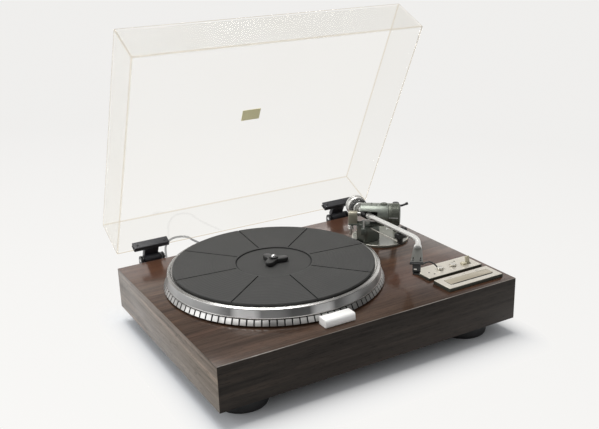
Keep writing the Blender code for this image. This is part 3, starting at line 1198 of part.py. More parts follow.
def build_sockets():
    """The plate with two signal sockets and an earth terminal on the plinth's back."""
    frame = at(SOCKET_PLATE_X, PLINTH_DEPTH + CLEARANCE, -SOCKET_PLATE_DROP)
    width, thickness, height = SOCKET_PLATE_SIZE
    plate = box("socket_plate", (-width / 2, 0, -height / 2), (width / 2, thickness, height / 2),
                "black_plastic", frame)
    sockets = []
    for index in (-1, 0, 1):
        x = index * SOCKET_SPACING
        sockets.append(rod(f"socket_{index}", (x, thickness / 2, 0), (x, thickness + SOCKET_LENGTH, 0),
                           SOCKET_RADIUS, frame=frame, sides=16))
    unite(plate, *sockets)


def smooth_route(points, spacing):
    """Points at an even spacing on a smooth curve through the route's points."""
    knots = [Vector(point) for point in points]
    knots = [knots[0] * 2 - knots[1]] + knots + [knots[-1] * 2 - knots[-2]]
    fine = []
    steps = 20
    for index in range(1, len(knots) - 2):
        before, here, there, after = knots[index - 1:index + 3]
        for step in range(steps):
            share = step / steps
            fine.append(0.5 * (2 * here + (there - before) * share
                               + (2 * before - 5 * here + 4 * there - after) * share ** 2
                               + (3 * here - before - 3 * there + after) * share ** 3))
    fine.append(knots[-2])
    travelled = [0.0]
    for first, second in zip(fine, fine[1:]):
        travelled.append(travelled[-1] + (second - first).length)
    count = max(round(travelled[-1] / spacing), 2)
    even = []
    place = 0
    for index in range(count + 1):
        wanted = travelled[-1] * index / count
        while place < len(fine) - 2 and travelled[place + 1] < wanted:
            place += 1
        stretch = travelled[place + 1] - travelled[place]
        share = (wanted - travelled[place]) / stretch
        even.append(fine[place].lerp(fine[place + 1], share))
    return even, travelled[-1]


def coil_points():
    """One unbroken tube in piled loops that spiral in and out, with straight ends.

    Each layer spirals in or out at a steady rate, and the tube climbs to the next layer in the half turn
    where the spiral reverses.
    """
    turns_per_layer = COIL_LOOPS / COIL_LAYERS
    total = COIL_LOOPS * COIL_LOOP_POINTS
    span = COIL_OUTER_RADIUS - COIL_INNER_RADIUS
    lead = 2 * CORD_RADIUS
    points = [Vector((-COIL_OUTER_RADIUS, lead, 0))]
    for index in range(total + 1):
        turn = index / COIL_LOOP_POINTS
        layer = turn / turns_per_layer
        phase = layer % 2
        inward = phase if phase <= 1 else 2 - phase
        radius = COIL_OUTER_RADIUS - span * inward
        level = 0.0
        for reversal in range(1, COIL_LAYERS):
            share = (turn - reversal * turns_per_layer) / 0.5 + 0.5
            share = min(max(share, 0.0), 1.0)
            level += share * share * (3 - 2 * share)
        angle = math.pi + turn * math.tau
        points.append(Vector((radius * math.cos(angle), radius * math.sin(angle), level * COIL_LAYER_RISE)))
    top = points[-1].z
    drop = top - (PLUG_SIZE[2] / 2 - COIL_HEIGHT)
    for index in range(1, COIL_TAIL_POINTS + 1):
        share = index / COIL_TAIL_POINTS
        ease = share * share * (3 - 2 * share)
        points.append(Vector((-COIL_OUTER_RADIUS, -COIL_TAIL * share, top - drop * ease)))
    points.append(points[-1] + Vector((0, -lead, 0)))
    return points


def least_self_gap(points, radius):
    """The smallest space between stretches of the tube that aren't neighbours along it."""
    skip = COIL_LOOP_POINTS // 2
    least = math.inf
    for first in range(len(points) - skip):
        for second in range(first + skip, len(points)):
            least = min(least, (points[first] - points[second]).length)
    return least - 2 * radius


def build_cord():
    """Gland, cord on the floor, coil and plug."""
    gland_frame = facing_back(at(GLAND_X, PLINTH_DEPTH + CLEARANCE, -GLAND_DROP))
    profile = ((0, GLAND_LENGTH), (GLAND_TIP_RADIUS, GLAND_LENGTH), (GLAND_ROOT_RADIUS, GLAND_FLANGE),
               (GLAND_FLANGE_RADIUS, GLAND_FLANGE), (GLAND_FLANGE_RADIUS, 0), (0, 0))
    turned("cord_gland", profile, "black_rubber", gland_frame, 20)

    floor = at(GLAND_X, PLINTH_DEPTH, -DECK_TOP_Z)
    exit_point = (0, GLAND_LENGTH + 2 * CLEARANCE, DECK_TOP_Z - GLAND_DROP)
    coil_start = (COIL_RIGHT_OF_GLAND - COIL_OUTER_RADIUS, COIL_BACK_OF_PLINTH + 2 * CORD_RADIUS + CLEARANCE,
                  COIL_HEIGHT)
    route, length = smooth_route((exit_point,) + CORD_ROUTE + (coil_start,), CORD_POINT_GAP)
    tube("mains_cord", route, CORD_RADIUS, "black_rubber", floor, 2)

    points = coil_points()
    coil_frame = floor @ Matrix.Translation((COIL_RIGHT_OF_GLAND, COIL_BACK_OF_PLINTH, COIL_HEIGHT))
    tube("cord_coil", points, CORD_RADIUS, "black_rubber", coil_frame, 1)
    wound = sum((second - first).length for first, second in zip(points, points[1:]))
    print(f"cord length {length + wound:.3f} m, of which {wound:.3f} m wound")
    print(f"least gap of the coil to itself {least_self_gap(points, CORD_RADIUS) * 1000:.2f} mm")

    width, depth, height = PLUG_SIZE
    end = points[-1]
    plug_frame = coil_frame @ Matrix.Translation(end)
    front = -CLEARANCE
    plug = box("mains_plug", (-width / 2, front - depth, -height / 2), (width / 2, front, height / 2),
               "black_plastic", plug_frame)
    bevel(plug, PLUG_BEVEL, 2)
    pins = []
    for side in (-1, 1):
        x = side * PLUG_PIN_SPACING / 2
        pins.append(rod(f"plug_pin_{side}", (x, front - depth + PLUG_BEVEL, 0),
                        (x, front - depth - PLUG_PIN_LENGTH, 0), PLUG_PIN_RADIUS, frame=plug_frame, sides=12))
    unite(plug, *pins)


clear_scene()
PARTS = new_collection("turntable")
CUTTERS = new_collection("cutters")
build_plinth()
build_platter()
build_motor()
build_electrics()
build_rear_panel()
build_front_panel()
build_arm_base()
build_arm_swing()
build_arm_tube()
build_head()
build_counterweight()
build_lift()
build_lid()
build_hinges()
build_sockets()
build_cord()
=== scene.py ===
"""A record player on a wooden plinth with its clear lid standing open.

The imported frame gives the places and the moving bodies. This script dresses it with detailed pieces
and procedural finishes, and sets up a plain studio with the camera. Lengths are in metres.
"""
from __future__ import annotations

import json
import logging
import math
from collections.abc import Callable, Iterable, Iterator, Sequence
from contextlib import contextmanager
from dataclasses import dataclass
from enum import Enum

import bmesh
import bpy
from mathutils import Matrix, Vector

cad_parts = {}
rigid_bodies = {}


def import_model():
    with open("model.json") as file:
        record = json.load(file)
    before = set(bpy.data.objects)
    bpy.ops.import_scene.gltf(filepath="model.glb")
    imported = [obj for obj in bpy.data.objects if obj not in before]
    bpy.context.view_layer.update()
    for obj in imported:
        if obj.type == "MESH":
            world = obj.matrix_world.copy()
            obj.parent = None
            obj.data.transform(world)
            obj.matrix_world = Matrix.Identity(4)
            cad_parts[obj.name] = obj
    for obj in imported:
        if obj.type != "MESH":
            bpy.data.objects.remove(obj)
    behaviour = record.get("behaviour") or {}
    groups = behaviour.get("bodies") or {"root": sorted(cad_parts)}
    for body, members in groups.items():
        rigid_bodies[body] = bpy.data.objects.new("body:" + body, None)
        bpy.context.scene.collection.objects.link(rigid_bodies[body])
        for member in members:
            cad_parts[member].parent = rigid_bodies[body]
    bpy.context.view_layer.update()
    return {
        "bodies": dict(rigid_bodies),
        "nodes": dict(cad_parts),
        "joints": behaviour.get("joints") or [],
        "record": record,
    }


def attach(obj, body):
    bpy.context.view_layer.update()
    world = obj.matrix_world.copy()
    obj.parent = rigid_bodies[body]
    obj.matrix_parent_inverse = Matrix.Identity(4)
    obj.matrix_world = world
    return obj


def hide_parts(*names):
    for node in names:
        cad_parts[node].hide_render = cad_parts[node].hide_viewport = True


LOG = logging.getLogger("turntable")

Flat = tuple[float, float]
Point = tuple[float, float, float]
Colour = tuple[float, float, float]
Piece = bpy.types.Object
Socket = bpy.types.NodeSocket
Tree = bpy.types.NodeTree

FRONT_Y = -0.219582
DECK_TOP = 0.088
GAP = 0.0003
SHARP = 32.0
HEAD_ANGLE = math.radians(39.0)
LID_OPEN = math.radians(63.95)
PLATTER: Flat = (-0.0548, 0.1936)
PIVOT: Flat = (0.141, 0.244)
PIVOT_HEIGHT = 0.048
ARM_BASE: Flat = (0.171, 0.245)
PLATTER_AXIS: Point = (PLATTER[0], PLATTER[1] + FRONT_Y, DECK_TOP)
DUST_GREY: Colour = (0.55, 0.53, 0.5)


class Body(Enum):
    """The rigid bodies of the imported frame."""

    CASE = "case"
    PLATTER = "platter"
    ADAPTER = "adapter"
    LID = "lid"
    SWING = "arm_swing"
    TONEARM = "tonearm"
    WEIGHT = "counterweight"
    RING = "scale_ring"
    FORCE_DIAL = "force_dial"
    SKATE_DIAL = "anti_skate_dial"
    BALANCE = "balance_weight"
    CUE = "cue_lever"
    PITCH_LEFT = "pitch_knob_left"
    PITCH_RIGHT = "pitch_knob_right"
    POWER = "power_lever"
    PRESS = "press_plate"


def at(across: float, back: float, up: float) -> Matrix:
    """A frame at a place right of the centre line, behind the plinth's front and above its top."""
    return Matrix.Translation((across, back + FRONT_Y, up + DECK_TOP))


def move(across: float, back: float, up: float) -> Matrix:
    """A plain shift."""
    return Matrix.Translation((across, back, up))


def turn(degrees: float, axis: str) -> Matrix:
    """A rotation about one of the axes, in degrees."""
    return Matrix.Rotation(math.radians(degrees), 4, axis)


def away(place: Sequence[float], centre: Sequence[float] = PLATTER_AXIS) -> float:
    """How far a place is from an upright axis."""
    return (Vector(place).xy - Vector(centre).xy).length


def arc(radius: float, start: float, end: float, count: int, centre: Flat = (0.0, 0.0)) -> list[Flat]:
    """Points along a circular arc, both ends included.

    Args:
        radius: the arc's radius.
        start: the first angle, in degrees.
        end: the last angle, in degrees.
        count: how many points.
        centre: the arc's centre.

    Returns:
        The points in order.
    """
    angles = [math.radians(start + (end - start) * index / (count - 1)) for index in range(count)]
    return [(centre[0] + radius * math.cos(angle), centre[1] + radius * math.sin(angle)) for angle in angles]


def rounded(corners: Sequence[Flat], radius: float, count: int = 4, closed: bool = False) -> list[Flat]:
    """A chain of corners with each inner corner rounded off.

    Args:
        corners: the sharp corners in order.
        radius: the rounding, cut down where a side is too short for it.
        count: points in each rounding.
        closed: whether the last corner joins the first.

    Returns:
        The rounded chain.
    """
    points: list[Flat] = []
    total = len(corners)
    for index, corner in enumerate(corners):
        if not closed and index in (0, total - 1):
            points.append(corner)
            continue
        here = Vector(corner)
        before = Vector(corners[index - 1]) - here
        after = Vector(corners[(index + 1) % total]) - here
        reach = min(radius, before.length * 0.45, after.length * 0.45)
        start = here + before.normalized() * reach
        end = here + after.normalized() * reach
        for step in range(count):
            share = step / (count - 1)
            bend = start.lerp(here, share).lerp(here.lerp(end, share), share)
            points.append((bend.x, bend.y))
    return points


def smooth_chain(points: Sequence[Point], spacing: float, steps: int = 20) -> list[Vector]:
    """Points at an even spacing on a smooth curve through the given ones.

    Args:
        points: the points that the curve passes.
        spacing: the distance between the points that come out.
        steps: how finely each stretch is measured.

    Returns:
        The evenly spaced points.
    """
    knots = [Vector(point) for point in points]
    knots = [knots[0] * 2 - knots[1]] + knots + [knots[-1] * 2 - knots[-2]]
    fine = []
    for index in range(1, len(knots) - 2):
        before, here, there, after = knots[index - 1:index + 3]
        for share in (step / steps for step in range(steps)):
            fine.append(0.5 * (2 * here + (there - before) * share
                               + (2 * before - 5 * here + 4 * there - after) * share ** 2
                               + (3 * here - before - 3 * there + after) * share ** 3))
    fine.append(knots[-2])
    travelled = [0.0]
    for first, second in zip(fine, fine[1:]):
        travelled.append(travelled[-1] + (second - first).length)
    count = max(round(travelled[-1] / spacing), 2)
    even = []
    place = 0
    for index in range(count + 1):
        wanted = travelled[-1] * index / count
        while place < len(fine) - 2 and travelled[place + 1] < wanted:
            place += 1
        stretch = travelled[place + 1] - travelled[place]
        even.append(fine[place].lerp(fine[place + 1], (wanted - travelled[place]) / stretch))
    return even


def clear() -> None:
    """Leave edit mode and select nothing."""
    if bpy.context.object is not None and bpy.context.object.mode != "OBJECT":
        bpy.ops.object.mode_set(mode="OBJECT")
    bpy.ops.object.select_all(action="DESELECT")


def focus(piece: Piece) -> None:
    """Select only this piece and make it active.

    Args:
        piece: the object to work on.
    """
    clear()
    piece.select_set(True)
    bpy.context.view_layer.objects.active = piece


def linked(name: str, data: bpy.types.ID) -> Piece:
    """A new object in the scene.

    Args:
        name: the object's name.
        data: its mesh, curve, camera or light.

    Returns:
        The object.
    """
    piece = bpy.data.objects.new(name, data)
    bpy.context.scene.collection.objects.link(piece)
    return piece


def meshed(piece: Piece) -> Piece:
    """A curve or a text turned into a mesh.

    Args:
        piece: the curve or text.

    Returns:
        The mesh object.
    """
    focus(piece)
    bpy.ops.object.convert(target="MESH")
    return bpy.context.object


@contextmanager
def editing(piece: Piece, kind: str = "", chosen: Callable[..., bool] | None = None) -> Iterator[None]:
    """Edit mode on a piece, with all of it selected or only its chosen faces or edges.

    Args:
        piece: the mesh to edit.
        kind: FACE or EDGE, where some are chosen.
        chosen: says which.

    Returns:
        A context that leaves edit mode at its end.
    """
    focus(piece)
    bpy.ops.object.mode_set(mode="EDIT")
    if chosen is None:
        bpy.ops.mesh.select_all(action="SELECT")
    else:
        bpy.ops.mesh.select_mode(type=kind)
        bpy.ops.mesh.select_all(action="DESELECT")
        shape = bmesh.from_edit_mesh(piece.data)
        for part in shape.faces if kind == "FACE" else shape.edges:
            part.select = chosen(part)
        bmesh.update_edit_mesh(piece.data)
    yield
    bpy.ops.object.mode_set(mode="OBJECT")


def apply(piece: Piece, kind: str, **values: object) -> None:
    """Give a piece one modifier and apply it.

    Args:
        piece: the piece to change.
        kind: the modifier's type.
        values: its settings.
    """
    focus(piece)
    modifier = piece.modifiers.new(kind.lower(), kind)
    for name, value in values.items():
        setattr(modifier, name, value)
    bpy.ops.object.modifier_apply(modifier=modifier.name)


def settle(piece: Piece, name: str, frame: Matrix, smooth: float = SHARP) -> Piece:
    """Put a mesh's place into its points, turn its faces out and shade it.

    Args:
        piece: the mesh object.
        name: its final name.
        frame: where its own axes go.
        smooth: edges sharper than this angle stay sharp, in degrees.

    Returns:
        The same object, unmoved and unscaled.
    """
    clear()
    piece.name = piece.data.name = name
    piece.data.transform(frame @ piece.matrix_world)
    piece.matrix_world = Matrix.Identity(4)
    with editing(piece):
        bpy.ops.mesh.remove_doubles(threshold=0.000002)
        bpy.ops.mesh.normals_make_consistent(inside=False)
    bpy.ops.object.shade_smooth_by_angle(angle=math.radians(smooth))
    clear()
    return piece


def turned(name: str, profile: Sequence[Flat], frame: Matrix, steps: int = 72, ring: bool = False,
           smooth: float = SHARP) -> Piece:
    """A round piece, grown from a circle by extruding it along a profile.

    Args:
        name: the piece's name.
        profile: radius and height of each step.
        frame: where the axis stands.
        steps: points round the circle.
        ring: whether the profile closes on itself round a hole.
        smooth: edges sharper than this angle stay sharp, in degrees.

    Returns:
        The new piece.
    """
    clear()
    chain = [*profile, profile[0]] if ring else list(profile)
    bpy.ops.mesh.primitive_circle_add(vertices=steps, radius=chain[0][0], location=(0, 0, chain[0][1]),
                                      fill_type="NOTHING" if ring else "NGON")
    piece = bpy.context.object
    with editing(piece):
        for (radius, height), (next_radius, next_height) in zip(chain, chain[1:]):
            bpy.ops.mesh.extrude_region_move(
                TRANSFORM_OT_translate={"value": (0, 0, next_height - height)})
            ratio = next_radius / radius
            bpy.ops.transform.resize(value=(ratio, ratio, 1), center_override=(0, 0, next_height))
    return settle(piece, name, frame, smooth)


def brick(name: str, low: Point, high: Point, frame: Matrix, edge: float = 0.0003,
          segments: int = 2) -> Piece:
    """A block with its edges rounded in edit mode.

    Args:
        name: the piece's name.
        low: its lowest corner in the frame.
        high: its highest corner in the frame.
        frame: where the corners are measured.
        edge: the width of the rounding, or zero for none.
        segments: faces across the rounding.

    Returns:
        The new piece.
    """
    clear()
    bpy.ops.mesh.primitive_cube_add(size=1, location=[(first + last) / 2 for first, last in zip(low, high)])
    piece = bpy.context.object
    piece.scale = [last - first for first, last in zip(low, high)]
    bpy.ops.object.transform_apply(location=False, rotation=False, scale=True)
    if edge > 0:
        with editing(piece):
            bpy.ops.mesh.bevel(offset=edge, segments=segments, affect="EDGES")
    return settle(piece, name, frame)


def cutter(low: Point, high: Point, frame: Matrix) -> Piece:
    """A sharp block that is cut away or joined to others."""
    return brick("cutter", low, high, frame, 0.0)


def dowel(name: str, start: Sequence[float], end: Sequence[float], radius: float, frame: Matrix,
          end_radius: float | None = None, edge: float = 0.0, steps: int = 32) -> Piece:
    """A round rod or cone between two points, with its ends' edges rounded.

    Args:
        name: the piece's name.
        start: the first end in the frame.
        end: the other end in the frame.
        radius: the radius at the start.
        frame: where the ends are measured.
        end_radius: the radius at the end, if it differs.
        edge: the rounding of both ends.
        steps: points round it.

    Returns:
        The new piece.
    """
    first, last = Vector(start), Vector(end)
    length = (last - first).length
    far = radius if end_radius is None else end_radius
    profile = [(radius, 0.0), (far, length)]
    if edge > 0:
        profile = [(radius - edge, 0.0), (radius - edge * 0.3, edge * 0.3), (radius, edge),
                   (far, length - edge), (far - edge * 0.3, length - edge * 0.3), (far - edge, length)]
    aim = (last - first).to_track_quat("Z", "Y").to_matrix().to_4x4()
    return turned(name, profile, frame @ Matrix.Translation(first) @ aim, steps)


def chained(name: str, points: Sequence[Sequence[float]], closed: bool = False, **values: object) -> Piece:
    """A curve object with one chain of points.

    Args:
        name: the curve's name.
        points: the chain, flat or in space.
        closed: whether the last point joins the first.
        values: the curve's settings.

    Returns:
        The new curve object.
    """
    data = bpy.data.curves.new(name, "CURVE")
    for key, value in values.items():
        setattr(data, key, value)
    spline = data.splines.new("POLY")
    spline.points.add(len(points) - 1)
    for point, place in zip(spline.points, points):
        point.co = (*Vector(place).to_3d(), 1)
    spline.use_cyclic_u = closed
    return linked(name, data)


def sheet(name: str, outline: Sequence[Flat], low: float, high: float, frame: Matrix,
          edge: float = 0.0) -> Piece:
    """A flat outline with thickness, its edges rounded.

    Args:
        name: the piece's name.
        outline: its corners in the frame's flat plane.
        low: the height of its underside.
        high: the height of its top.
        frame: where it is measured.
        edge: the rounding of the top and bottom edges.

    Returns:
        The new piece.
    """
    clear()
    flat = chained(name, outline, True, dimensions="2D", fill_mode="BOTH", offset=-edge,
                   extrude=(high - low) / 2 - edge, bevel_depth=edge, bevel_resolution=1)
    return settle(meshed(flat), name, frame @ move(0, 0, (high + low) / 2))


def hose(name: str, points: Sequence[Sequence[float]], radius: float, resolution: int = 4) -> Piece:
    """A round tube along a chain of points that stays a curve."""
    return chained(name, points, dimensions="3D", bevel_depth=radius, bevel_resolution=resolution,
                   use_fill_caps=True)


def wire(name: str, points: Sequence[Sequence[float]], radius: float, frame: Matrix,
         resolution: int = 4) -> Piece:
    """A round tube along a chain of points, with closed ends, as a mesh."""
    clear()
    return settle(meshed(hose(name, points, radius, resolution)), name, frame, 50.0)


def merge(piece: Piece, operation: str, others: Iterable[Piece], smooth: float) -> Piece:
    """Apply one Boolean for each other shape and delete the shapes.

    Args:
        piece: the piece to change.
        operation: the Boolean's kind.
        others: the shapes to take away or to join.
        smooth: edges sharper than this angle stay sharp, in degrees.

    Returns:
        The changed piece.
    """
    for other in others:
        apply(piece, "BOOLEAN", operation=operation, solver="EXACT", object=other)
        bpy.data.objects.remove(other, do_unlink=True)
    return settle(piece, piece.name, Matrix.Identity(4), smooth)


def carve(piece: Piece, *cutters: Piece, smooth: float = SHARP) -> Piece:
    """Take shapes out of a piece, and delete them."""
    return merge(piece, "DIFFERENCE", cutters, smooth)


def weld(piece: Piece, *others: Piece, smooth: float = SHARP) -> Piece:
    """Join shapes to a piece into one skin, and delete them."""
    return merge(piece, "UNION", others, smooth)


def copies(piece: Piece, places: dict[str, Matrix]) -> list[Piece]:
    """Copies of a piece, each with its own mesh. The model itself is deleted.

    Args:
        piece: the modelled piece, about the origin.
        places: each copy's name and where it goes.

    Returns:
        The copies.
    """
    made = []
    for name, place in places.items():
        made.append(linked(name, piece.data.copy()))
        made[-1].data.name = name
        made[-1].data.transform(place)
    bpy.data.objects.remove(piece, do_unlink=True)
    return made


def joined(name: str, pieces: Sequence[Piece]) -> Piece:
    """Several loose shapes as one object.

    Args:
        name: the object's name.
        pieces: the shapes, which go into it.

    Returns:
        The one object.
    """
    clear()
    for piece in pieces:
        piece.select_set(True)
    bpy.context.view_layer.objects.active = pieces[0]
    bpy.ops.object.join()
    whole = bpy.context.object
    whole.name = whole.data.name = name
    clear()
    return whole


class Nodes:
    """A small writer for one node tree."""

    def __init__(self, tree: Tree) -> None:
        """Keep the tree that nodes are added to."""
        self.tree = tree

    def feed(self, socket: Socket, value: object) -> None:
        """Link a socket, or write a plain value into it.

        Args:
            socket: the input.
            value: another node's output, a number, a vector or a colour.
        """
        if isinstance(value, Socket):
            self.tree.links.new(value, socket)
        elif isinstance(value, tuple) and len(value) == 3 and len(socket.default_value) == 4:
            socket.default_value = (*value, 1.0)
        else:
            socket.default_value = value

    def add(self, kind: str, inputs: dict | None = None, **values: object) -> bpy.types.Node:
        """A shader node with its properties set and its inputs fed.

        Args:
            kind: the node's type, after its common first word.
            inputs: what goes into each input, by name or number.
            values: the node's properties.

        Returns:
            The new node.
        """
        node = self.tree.nodes.new(f"ShaderNode{kind}")
        for name, value in values.items():
            setattr(node, name, value)
        for name, value in (inputs or {}).items():
            self.feed(node.inputs[name], value)
        return node

    def math(self, operation: str, *values: object) -> Socket:
        """The result of a Math node."""
        return self.add("Math", dict(enumerate(values)), operation=operation).outputs[0]

    def times(self, first: object, second: object) -> Socket:
        """The product of two values."""
        return self.math("MULTIPLY", first, second)

    def vector(self, operation: str, *values: object) -> Socket:
        """The result of a Vector Math node, a number where it measures."""
        node = self.add("VectorMath", dict(enumerate(values)), operation=operation)
        return node.outputs["Value" if operation in ("DOT_PRODUCT", "DISTANCE") else "Vector"]

    def split(self, vector: Socket) -> Sequence[Socket]:
        """A vector's three parts."""
        return self.add("SeparateXYZ", {0: vector}).outputs

    def mix(self, share: object, first: object, second: object) -> Socket:
        """The colour between two others."""
        node = self.add("Mix", {"Factor": share, "A": first, "B": second}, data_type="RGBA")
        return node.outputs["Result"]

    def ramp(self, value: Socket, stops: Sequence[tuple[float, Colour]]) -> Socket:
        """A colour ramp.

        Args:
            value: what is looked up.
            stops: place and colour of each stop.

        Returns:
            The colour.
        """
        node = self.add("ValToRGB", {"Fac": value})
        elements = node.color_ramp.elements
        while len(elements) < len(stops):
            elements.new(0.5)
        for element, (place, colour) in zip(elements, stops):
            element.position, element.color = place, (*colour, 1.0)
        return node.outputs["Color"]

    def span(self, value: object, low: float, high: float, new_low: float = 0.0,
             new_high: float = 1.0) -> Socket:
        """A value moved from one range into another, and held inside it."""
        return self.add("MapRange", dict(enumerate((value, low, high, new_low, new_high)))).outputs["Result"]

    def place(self, centre: Point = (0, 0, 0), rotation: Point = (0, 0, 0)) -> Socket:
        """Object coordinates, counted from a centre and then turned."""
        moved = self.vector("SUBTRACT", self.add("TexCoord").outputs["Object"], centre)
        return self.add("Mapping", {"Vector": moved, "Rotation": rotation},
                        vector_type="POINT").outputs["Vector"]

    def noise(self, vector: Socket, scale: float, detail: float = 4.0, roughness: float = 0.5,
              distortion: float = 0.0) -> Socket:
        """A noise texture's value."""
        return self.add("TexNoise",
                        {"Vector": vector, "Scale": scale, "Detail": detail, "Roughness": roughness,
                         "Distortion": distortion}).outputs["Fac"]

    def group(self, tree: Tree, **values: object) -> Sequence[Socket]:
        """The outputs of a node group with its inputs set."""
        return self.add("Group", values, node_tree=tree).outputs

    def bump(self, height: Socket, strength: float, distance: float) -> Socket:
        """A normal from a height."""
        return self.add("Bump",
                        {"Strength": strength, "Distance": distance, "Height": height}).outputs["Normal"]


class Group(Nodes):
    """A shader node group that reads a vector and puts out values that vary over the surface."""

    def __init__(self, name: str, **inputs: float) -> None:
        """Make the group with its vector and its further inputs.

        Args:
            name: the group's name.
            inputs: the further inputs with their defaults.
        """
        super().__init__(bpy.data.node_groups.new(name, "ShaderNodeTree"))
        sockets = self.tree.interface
        sockets.new_socket("Vector", in_out="INPUT", socket_type="NodeSocketVector")
        for label, default in inputs.items():
            sockets.new_socket(label, in_out="INPUT", socket_type="NodeSocketFloat").default_value = default
        self.entry = self.tree.nodes.new("NodeGroupInput").outputs

    def give(self, **values: Socket) -> Tree:
        """Put values out.

        Args:
            values: each output's name and value.

        Returns:
            The finished group.
        """
        for label in values:
            self.tree.interface.new_socket(label, in_out="OUTPUT", socket_type="NodeSocketFloat")
        leave = self.tree.nodes.new("NodeGroupOutput").inputs
        for label, value in values.items():
            self.feed(leave[label], value)
        return self.tree


class Effects:
    """The node groups that several finishes share."""

    def __init__(self) -> None:
        """Build each group once."""
        self.grain = self._grain()
        self.handling = self._handling()
        self.rings = self._rings()
        self.brushed = self._brushed()

    @staticmethod
    def _grain() -> Tree:
        """Wood grain along the vector's X axis: figure, streaks and pores.

        Returns:
            The node group.
        """
        nodes = Group("wood_grain")
        layers = {}
        for name, along, across, detail, roughness, distortion in (
                ("broad", 1.4, 20.0, 5.0, 0.55, 0.9), ("fine", 7.0, 210.0, 4.0, 0.6, 0.3),
                ("streak", 2.6, 62.0, 3.0, 0.5, 0.5), ("pores", 70.0, 1500.0, 2.0, 0.5, 0.0),
                ("red", 1.1, 9.0, 3.0, 0.5, 0.4)):
            stretched = nodes.vector("MULTIPLY", nodes.entry["Vector"], (along, across, across))
            layers[name] = nodes.noise(stretched, 1.0, detail, roughness, distortion)
        fine = layers["fine"]
        figure = nodes.math("ADD", nodes.times(layers["broad"], 0.26), nodes.times(layers["streak"], 0.32))
        dots = nodes.span(layers["pores"], 0.6, 0.7)
        return nodes.give(Figure=nodes.math("ADD", figure, nodes.times(fine, 0.42)),
                          Red=nodes.span(layers["red"], 0.45, 0.7), Pores=dots,
                          Height=nodes.math("SUBTRACT", nodes.times(fine, 0.5), nodes.times(dots, 0.5)))

    @staticmethod
    def _handling() -> Tree:
        """Uneven gloss from hands and dust, with fine scuffs.

        Returns:
            The node group.
        """
        nodes = Group("handling", Amount=0.1, Roughness=0.4)
        smears = nodes.noise(nodes.entry["Vector"], 14.0, 5.0, 0.6, 0.6)
        specks = nodes.noise(nodes.entry["Vector"], 900.0, 2.0)
        change = nodes.times(nodes.math("SUBTRACT", smears, 0.5), nodes.entry["Amount"])
        return nodes.give(Roughness=nodes.math("ADD", nodes.entry["Roughness"], nodes.times(change, 2.0)),
                          Dust=nodes.times(nodes.span(smears, 0.45, 0.75), nodes.span(specks, 0.4, 0.7)))

    @staticmethod
    def _rings() -> Tree:
        """Turning marks: rings round the vector's Z axis, and lines along its height.

        Returns:
            The node group.
        """
        nodes = Group("turning_marks", Density=900.0)
        across, back, up = nodes.split(nodes.entry["Vector"])
        radius = nodes.math("SQRT", nodes.math("ADD", nodes.times(across, across), nodes.times(back, back)))
        along = nodes.times(nodes.math("ADD", radius, nodes.times(up, 1.7)), nodes.entry["Density"])
        lines = nodes.add("TexNoise", {"W": along, "Scale": 1.0, "Detail": 3.0}, noise_dimensions="1D")
        return nodes.give(Height=lines.outputs["Fac"], Tone=nodes.span(lines.outputs["Fac"], 0.3, 0.7))

    @staticmethod
    def _brushed() -> Tree:
        """Brush lines along the vector's X axis.

        Returns:
            The node group.
        """
        nodes = Group("brush_lines")
        drawn = nodes.vector("MULTIPLY", nodes.entry["Vector"], (18.0, 2600.0, 2600.0))
        lines = nodes.noise(drawn, 1.0, 3.0, 0.6)
        return nodes.give(Height=lines, Tone=nodes.span(lines, 0.3, 0.7))


@dataclass(frozen=True)
class Finish:
    """A painted, moulded or metal surface with uneven gloss and fine texture."""

    name: str
    colour: Colour
    roughness: float
    metallic: float = 0.0
    variation: float = 0.12
    smears: float = 0.08
    texture: float = 0.00003
    texture_scale: float = 700.0
    coat: float = 0.0
    coat_roughness: float = 0.15
    dust: float = 0.02
    dust_colour: Colour = DUST_GREY
    centre: Point = (0.0, 0.0, 0.0)

    def shade(self, share: float) -> Colour:
        """The finish's colour, darker or lighter by a share."""
        return tuple(min(channel * (1 + share), 1.0) for channel in self.colour)

    def start(self) -> tuple[bpy.types.Material, Nodes, bpy.types.Node]:
        """A new material with its Principled shader and plain values.

        Returns:
            The material, its writer and its shader.
        """
        material = bpy.data.materials.new(self.name)
        material.use_nodes = True
        shader = material.node_tree.nodes["Principled BSDF"]
        shader.inputs["Metallic"].default_value = self.metallic
        shader.inputs["Coat Weight"].default_value = self.coat
        shader.inputs["Coat Roughness"].default_value = self.coat_roughness
        return material, Nodes(material.node_tree), shader

    def make(self, effects: Effects) -> bpy.types.Material:
        """The material: a pattern under dust, with uneven gloss and relief.

        Args:
            effects: the shared node groups.

        Returns:
            The new material.
        """
        material, nodes, shader = self.start()
        vector = nodes.place(self.centre)
        handling = nodes.group(effects.handling, Vector=vector, Amount=self.smears, Roughness=self.roughness)
        colour, normal = self.pattern(nodes, effects, vector)
        dusty = nodes.mix(nodes.times(handling["Dust"], self.dust), colour, self.dust_colour)
        for name, value in (("Base Color", self.painted_edge_highlight(nodes, dusty)), ("Roughness", handling["Roughness"]),
                            ("Normal", normal)):
            nodes.feed(shader.inputs[name], value)
        return material

    def pattern(self, nodes: Nodes, effects: Effects, vector: Socket) -> tuple[Socket, Socket]:
        """The colour and the normal: broad changes of tone over a fine texture."""
        tone, relief = nodes.noise(vector, 30.0, 4.0, 0.6), nodes.noise(vector, self.texture_scale, 3.0, 0.6)
        return self.tones(nodes, nodes.span(tone, 0.3, 0.7)), nodes.bump(relief, 1.0, self.texture)

    def tones(self, nodes: Nodes, tone: Socket) -> Socket:
        """The colour between the darker and the lighter tone."""
        return nodes.mix(tone, self.shade(-self.variation), self.shade(self.variation))

    def painted_edge_highlight(self, nodes: Nodes, colour: Socket) -> Socket:
        """The colour with a painted highlight along an edge, here none."""
        return colour


